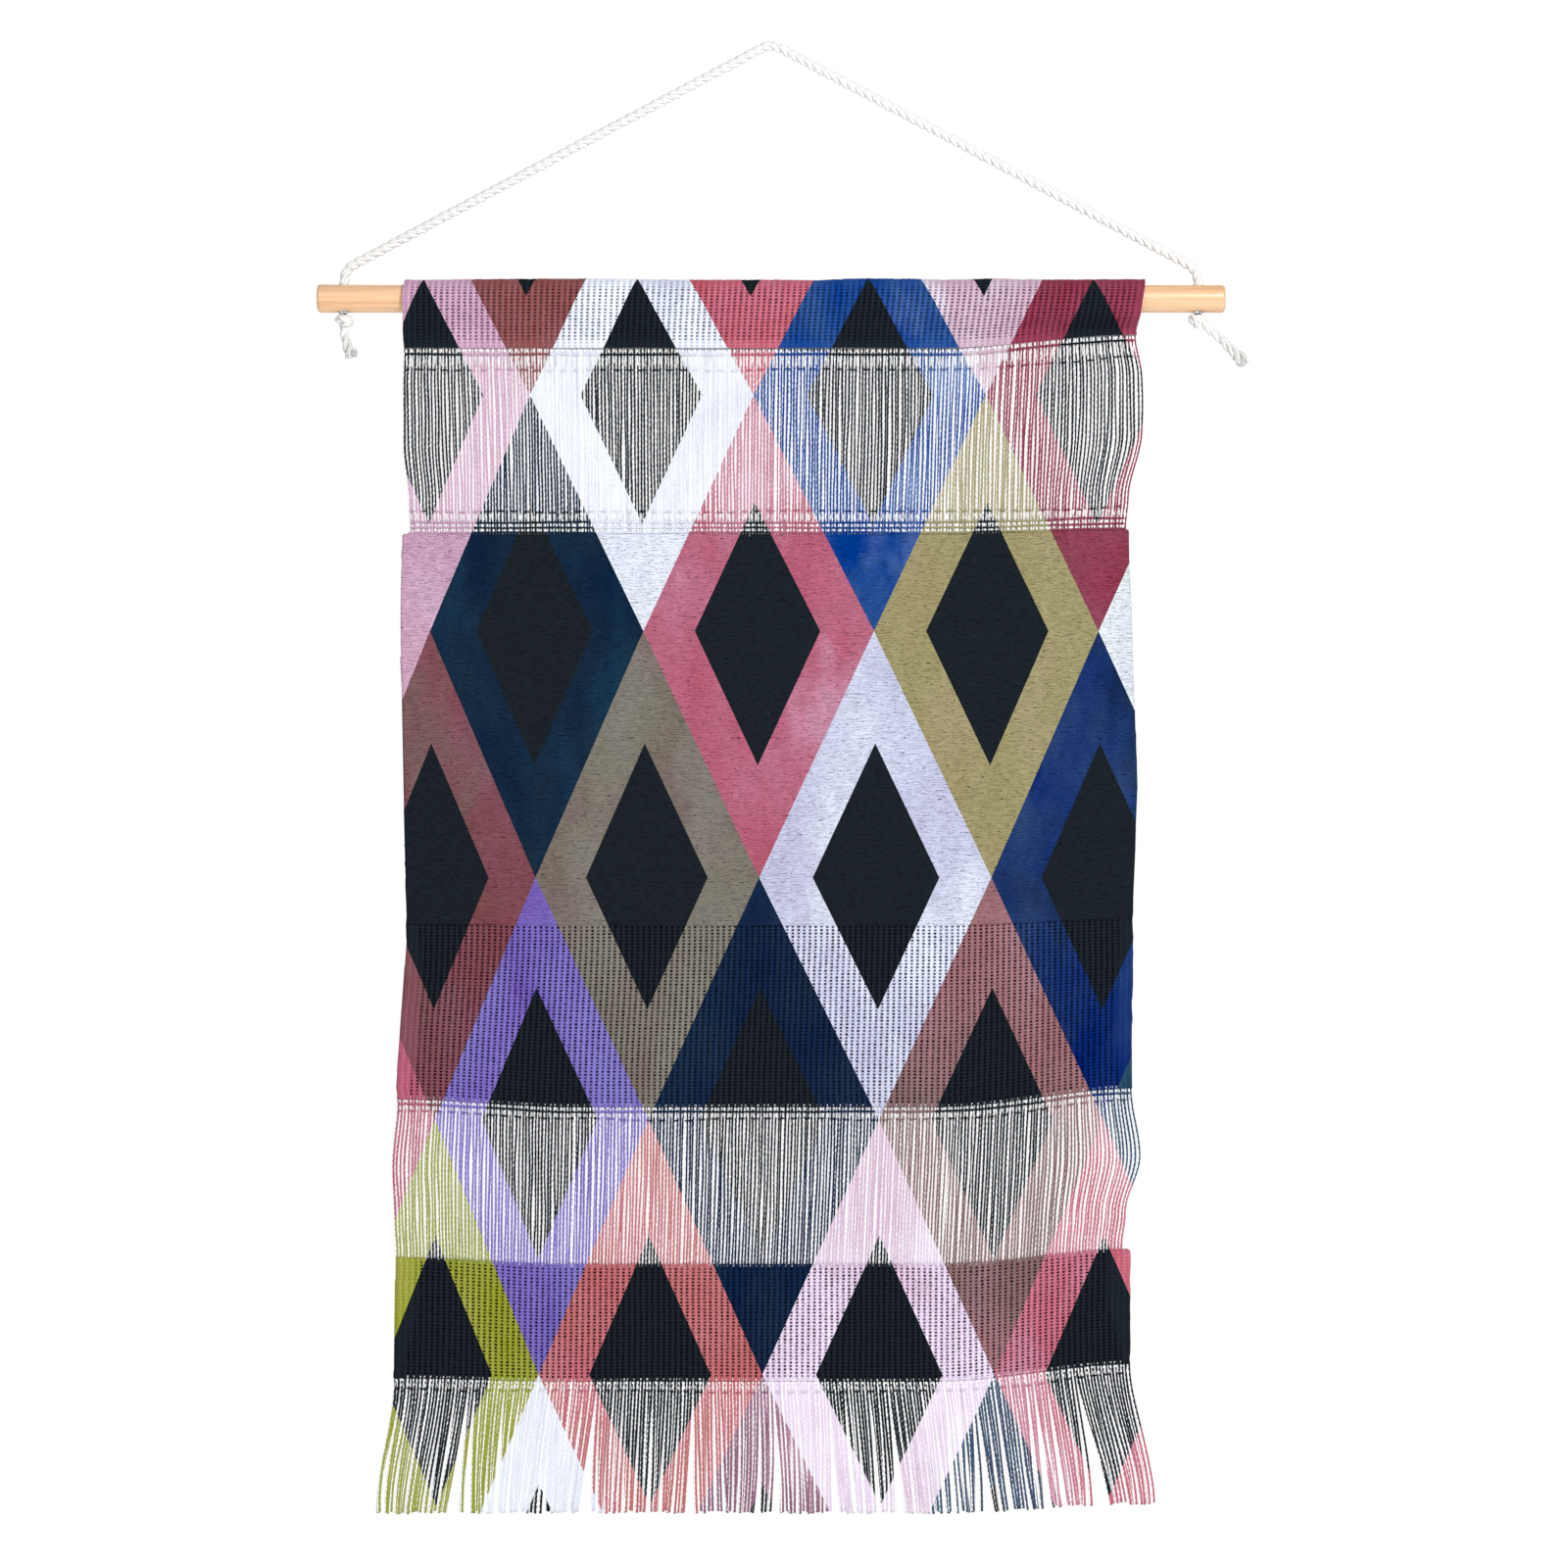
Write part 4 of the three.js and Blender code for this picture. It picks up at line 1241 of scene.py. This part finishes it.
class HANGING_OT_cord(bpy.types.Operator):
    """Three-strand cotton cord over the nail, with its knots and frayed tails"""

    bl_idname = "hanging.cord"
    bl_label = "Cord, knots and tails"

    def execute(self, context):
        sizes, paints = settings(context)
        cotton = bare_cotton_material(paints, "cord_cotton", 3.4, 5.0, 0.35 * MM)
        right = [(x * MM, 0, z * MM) for x, z in CORD_HALF]
        foot = (HOLE_X, 0, RUN_RIGHT[0].z)
        mirrored = [(-x, y, z) for x, y, z in (foot, *right[:0:-1])]
        line = smooth_line([*mirrored, *right, foot], 0.9 * MM)
        radius = CORD_DIAMETER / 2
        rope = strands("hanging_cord_rope", line, radius * 0.5, radius * 0.53, sizes.rope_lay, 12)
        paint(rope, cotton)
        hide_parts("hanging_cord", "cord_run_left", "cord_run_right")
        others = []
        for side in ("left", "right"):
            others += [self.add_knot(side, cotton), *self.add_tail(side, cotton)]
        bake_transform(rope)
        return {"FINISHED"}

    def add_knot(self, side, cotton):
        """Stopper knot: the cord's end wound round itself one and a half times."""
        low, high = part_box(f"knot_{side}")
        middle = np.array((low + high) / 2)
        rope = 1.95 * MM
        reach, rise = (high.x - low.x) / 2 - rope, (high.z - low.z) / 2 - rope * 0.9
        hand = 1 if side == "left" else -1
        steps = 60
        turn = np.linspace(-0.65, 2.35, steps) * math.pi
        climb = np.linspace(1, -1, steps)
        wound = np.stack([hand * np.cos(turn) * reach, -np.sin(turn) * reach * 0.95,
                          climb * rise - hand * np.cos(turn) * 0.5 * MM], 1)
        top, foot = np.array([[0, 0, rise + rope * 0.8]]), np.array([[0, 0, -rise - rope]])
        line = smooth_line(np.concatenate([top, wound[::6], wound[-1:], foot]) + middle, 0.5 * MM)
        knot = strands(f"cord_knot_{side}", line, rope * 0.5, rope * 0.52, 10 * MM, sides=8)
        paint(knot, cotton)
        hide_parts(f"knot_{side}")
        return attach(knot, "rod")

    def add_tail(self, side, cotton):
        """Cord end whose three strands part and open into loose fibres."""
        low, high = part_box(f"tail_{side}")
        knot_low, knot_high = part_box(f"knot_{side}")
        start = (knot_low + knot_high) / 2
        slant = side == "right"
        lay, fibre_count = 15 * MM, 84
        end = Vector((high.x - (2.4 if slant else 3.2) * MM, 0, low.z + (2.4 if slant else 0) * MM))
        share = np.linspace(0, 1, 9)[:, None]
        line = np.array(start) * (1 - share) + np.array(end) * share
        line[:, 2] += np.sin(share[:, 0] * math.pi) * (1.2 * MM if slant else 0)
        line[:, 0] += np.sin(share[:, 0] * math.pi * 1.3) * (0 if slant else -0.9 * MM)
        stem = smooth_line(line, 0.8 * MM)
        share = np.linspace(0, 1, len(stem))
        opened = smoothstep(0.45, 1.05, share)
        centre = (1.05 + 0.85 * opened) * MM
        thick = (1.12 - 0.3 * opened) * MM
        core = strands(f"cord_tail_{side}", stem[:-3], centre[:-3], thick[:-3], lay, sides=8)
        along, normal, across = line_frames(stem)
        draw = np.random.default_rng(7 if side == "left" else 8)
        paths = []
        for k in range(fibre_count):
            turn = 2 * math.pi * (along / lay + (k % 3) / 3)
            spread, far = draw.uniform(0, 2 * math.pi), math.sqrt(draw.uniform(0.1, 1))
            splay = thick * 0.92 * far + opened ** 2 * 0.9 * MM * far
            wave = np.sin(share * draw.uniform(9, 16) + spread) * 0.28 * MM * opened
            path = (stem + (normal * np.cos(turn)[:, None] + across * np.sin(turn)[:, None])
                    * centre[:, None]
                    + (normal * np.cos(spread) + across * np.sin(spread)) * (splay + wave)[:, None])
            first, last = draw.uniform(0.25, 0.5), draw.uniform(0.9, 1.0)
            even = np.linspace(first, last, 14) * (len(stem) - 1)
            paths.append(np.stack([np.interp(even, np.arange(len(stem)), path[:, a])
                                   for a in range(3)], 1))
        fibres, points, _ = tubes(f"cord_fibres_{side}", paths, np.full(2, 0.26 * MM),
                                  ((1, 0, 0), (0, 1, 0)), 5)
        store(fibres, "lie", points / MM)
        for piece in (core, fibres):
            paint(piece, cotton)
            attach(piece, "rod")
        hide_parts(f"tail_{side}")
        return [core, fibres]


class HANGING_OT_dowel(bpy.types.Operator):
    """Turned wooden rod with eased ends and two drilled holes"""

    bl_idname = "hanging.dowel"
    bl_label = "Dowel"

    def execute(self, context):
        half, radius, ease = (DOWEL_HIGH.x - DOWEL_LOW.x) / 2, DOWEL_RADIUS, 1.4 * MM
        bend, rings = np.linspace(0, math.pi / 2, 7), 118
        end_x = half - ease + ease * np.sin(bend)
        end_r = radius - ease + ease * np.cos(bend)
        straight = np.linspace(-half + ease, half - ease, rings + 2)[1:-1]
        x = np.concatenate([-end_x[::-1], straight, end_x])
        r = np.concatenate([end_r[::-1], np.full(rings, radius), end_r])
        sides = 96
        angle = circle(sides)
        points = np.stack([np.repeat(x, sides), np.outer(r, np.cos(angle)).ravel(),
                           np.outer(r, np.sin(angle)).ravel() + AXIS_Z], 1)
        caps = np.arange(sides)[None]
        rod = new_object("turned_dowel", points, [
            ring_quads(len(x), sides)[:, ::-1], caps, caps[:, ::-1] + (len(x) - 1) * sides])
        for hole_x in (-HOLE_X, HOLE_X):
            self.drill(rod, hole_x)
        paint(rod, wood_material(context.scene.hanging_colours))
        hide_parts("dowel")
        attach(rod, "rod")
        return {"FINISHED"}

    def drill(self, rod, hole_x):
        sides, reach = 32, DOWEL_RADIUS * 1.5
        radius = CORD_DIAMETER / 2 + HOLE_CLEARANCE
        angle = circle(sides)
        ring = np.stack([hole_x + radius * np.cos(angle), radius * np.sin(angle)], 1)
        points = np.concatenate([np.column_stack([ring, np.full(sides, AXIS_Z + z)])
                                 for z in (-reach, reach)])
        caps = np.arange(sides)[None]
        bit = new_object("drill_bit", points, [ring_quads(2, sides), caps[:, ::-1], caps + sides])
        cut = rod.modifiers.new("hole", "BOOLEAN")
        cut.operation, cut.object, cut.solver = "DIFFERENCE", bit, "EXACT"
        shaped = bpy.data.meshes.new_from_object(
            rod.evaluated_get(bpy.context.evaluated_depsgraph_get()))
        rod.modifiers.clear()
        rod.data = shaped
        bpy.data.objects.remove(bit)
        shaped.set_sharp_from_angle(angle=math.radians(40))


class HANGING_OT_pocket(bpy.types.Operator):
    """Rod pocket sewn round the dowel, and its seam"""

    bl_idname = "hanging.pocket"
    bl_label = "Rod pocket and seam"

    def execute(self, context):
        sizes, paints = settings(context)
        pocket = pocket_sheet("rod_pocket_cloth", sizes)
        paint(pocket, mesh_cloth_material(paints))
        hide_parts("rod_pocket")
        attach(pocket, "pocket")
        seam = self.add_seam(paints)
        return {"FINISHED"}

    def add_seam(self, paints):
        low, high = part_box("pocket_seam")
        pitch, duty = 3.4 * MM, 0.72
        count = int((high.x - low.x) / pitch)
        paths = []
        for k in range(count):
            x = low.x + (k + np.linspace(0.5 - duty / 2, 0.5 + duty / 2, 7)) * pitch
            arch = np.sin(np.linspace(0, math.pi, 7))
            y = low.y - 1.0 * MM + arch * 1.2 * MM
            paths.append(np.stack([x, y, np.full(7, (low.z + high.z) / 2)], 1))
        seam = cross_mesh("seam_stitches", paths, high.z - low.z, 0.0)
        paint(seam, bare_cotton_material(paints, "seam_cotton", 1.2, 2.0, 0.1 * MM))
        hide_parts("pocket_seam")
        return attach(seam, "pocket")


class HANGING_OT_upper_band(bpy.types.Operator):
    """Bare warp yarns between the pocket and the tapestry band"""

    bl_idname = "hanging.upper_band"
    bl_label = "Upper open band"

    def execute(self, context):
        sizes, paints = settings(context)
        top, bottom = POCKET_LOW.z, TAPESTRY_HIGH.z
        wefts = middle_heights("upper_weft_top", "upper_weft_bottom")
        nubs = [(top - 0.2 * MM, top - 2.0 * MM, 1), (top - 3.4 * MM, top - 8.8 * MM, 2),
                (wefts[1][1] - 0.7 * MM, wefts[1][1] - 4.3 * MM, 2)]
        nubs += [(bottom + rise * MM, bottom + (rise - 1.5) * MM, 1) for rise in (4.7, 2.4)]
        extra = [top - 2.7 * MM, bottom + 5.2 * MM, bottom + 2.8 * MM, bottom + 0.6 * MM]
        open_band("upper", top, bottom, sizes, paints, wefts, nubs, extra,
                  41, 0.9 * MM)
        return {"FINISHED"}


class HANGING_OT_lower_band(bpy.types.Operator):
    """Bare warp yarns between the two mesh bands"""

    bl_idname = "hanging.lower_band"
    bl_label = "Lower open band"

    def execute(self, context):
        sizes, paints = settings(context)
        top, bottom = MESH_LOW.z, LOWER_HIGH.z
        wefts = middle_heights("lower_weft_top")
        nubs = [(top - 0.2 * MM, top - 1.3 * MM, 1), (top - 2.6 * MM, top - 5.0 * MM, 2)]
        open_band("lower", top, bottom, sizes, paints, wefts, nubs,
                  [top - 2.1 * MM], 51, 0.4 * MM)
        return {"FINISHED"}


class HANGING_OT_woven_panels(bpy.types.Operator):
    """Tight tapestry band and the mesh band below it"""

    bl_idname = "hanging.woven_panels"
    bl_label = "Tapestry and mesh bands"

    def execute(self, context):
        sizes, paints = settings(context)
        tight = tapestry_panel("tapestry_cloth", TAPESTRY_HIGH.z, TAPESTRY_LOW.z, sizes)
        paint(tight, tight_cloth_material(paints))
        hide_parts("tapestry_panel")
        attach(tight, "woven_panel")
        mesh = mesh_panel("mesh_cloth_upper", TAPESTRY_LOW.z, MESH_LOW.z, sizes)
        paint(mesh, mesh_cloth_material(paints))
        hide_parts("mesh_panel")
        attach(mesh, "woven_panel")
        return {"FINISHED"}


class HANGING_OT_lower_panel(bpy.types.Operator):
    """Lower mesh band"""

    bl_idname = "hanging.lower_panel"
    bl_label = "Lower mesh band"

    def execute(self, context):
        sizes, paints = settings(context)
        mesh = mesh_panel("mesh_cloth_lower", LOWER_HIGH.z, LOWER_LOW.z, sizes)
        paint(mesh, mesh_cloth_material(paints))
        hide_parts("lower_mesh_panel")
        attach(mesh, "lower_panel")
        return {"FINISHED"}


class HANGING_OT_fringe(bpy.types.Operator):
    """Fringe of loose warp yarns below the last weft yarn"""

    bl_idname = "hanging.fringe"
    bl_label = "Fringe"

    def execute(self, context):
        sizes, paints = settings(context)
        top = LOWER_LOW.z
        yarns = yarn_mesh("fringe_yarns", fringe_paths(sizes), sizes.warp_diameter * 1.2)
        paint(yarns, printed_yarn_material(paints))
        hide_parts("fringe_header", *[f"fringe_{n}" for n in range(1, 12)])
        low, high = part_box("fringe_weft")
        weft = cross_mesh("fringe_weft_yarn", weft_path((low.z + high.z) / 2 - 1.5 * MM, sizes, 71),
                          sizes.weft_diameter)
        paint(weft, printed_yarn_material(paints))
        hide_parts("fringe_weft")
        hem = hem_nubs("fringe_hem_nubs", [(top - 0.2 * MM, top - 1.4 * MM, 1),
                                           (top - 2.2 * MM, top - 4.0 * MM, 2)], sizes, 72)
        paint(hem, printed_yarn_material(paints))
        for piece in (yarns, weft, hem):
            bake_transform(piece)
        return {"FINISHED"}


STEPS = (
    HANGING_OT_stage, HANGING_OT_cord, HANGING_OT_dowel, HANGING_OT_pocket,
    HANGING_OT_upper_band, HANGING_OT_woven_panels, HANGING_OT_lower_band,
    HANGING_OT_lower_panel, HANGING_OT_fringe,
)


class HANGING_PT_steps(bpy.types.Panel):
    """Lists the steps that build the hanging"""

    bl_idname = "HANGING_PT_steps"
    bl_label = "Wall Hanging"
    bl_space_type = "VIEW_3D"
    bl_region_type = "UI"
    bl_category = "Hanging"

    def draw(self, context):
        for step in STEPS:
            self.layout.operator(step.bl_idname)
        for group in (context.scene.hanging_sizes, context.scene.hanging_colours):
            column = self.layout.column(align=True)
            for name in group.__annotations__:
                column.prop(group, name)


CLASSES = (HangingColours, HangingSizes, *STEPS, HANGING_PT_steps)


def register():
    for item in CLASSES:
        bpy.utils.register_class(item)
    bpy.types.Scene.hanging_colours = PointerProperty(type=HangingColours)
    bpy.types.Scene.hanging_sizes = PointerProperty(type=HangingSizes)


def unregister():
    del bpy.types.Scene.hanging_colours
    del bpy.types.Scene.hanging_sizes
    for item in reversed(CLASSES):
        bpy.utils.unregister_class(item)


def main():
    register()
    for step in STEPS:
        family, action = step.bl_idname.split(".")
        getattr(getattr(bpy.ops, family), action)()


if __name__ == "__main__":
    main()
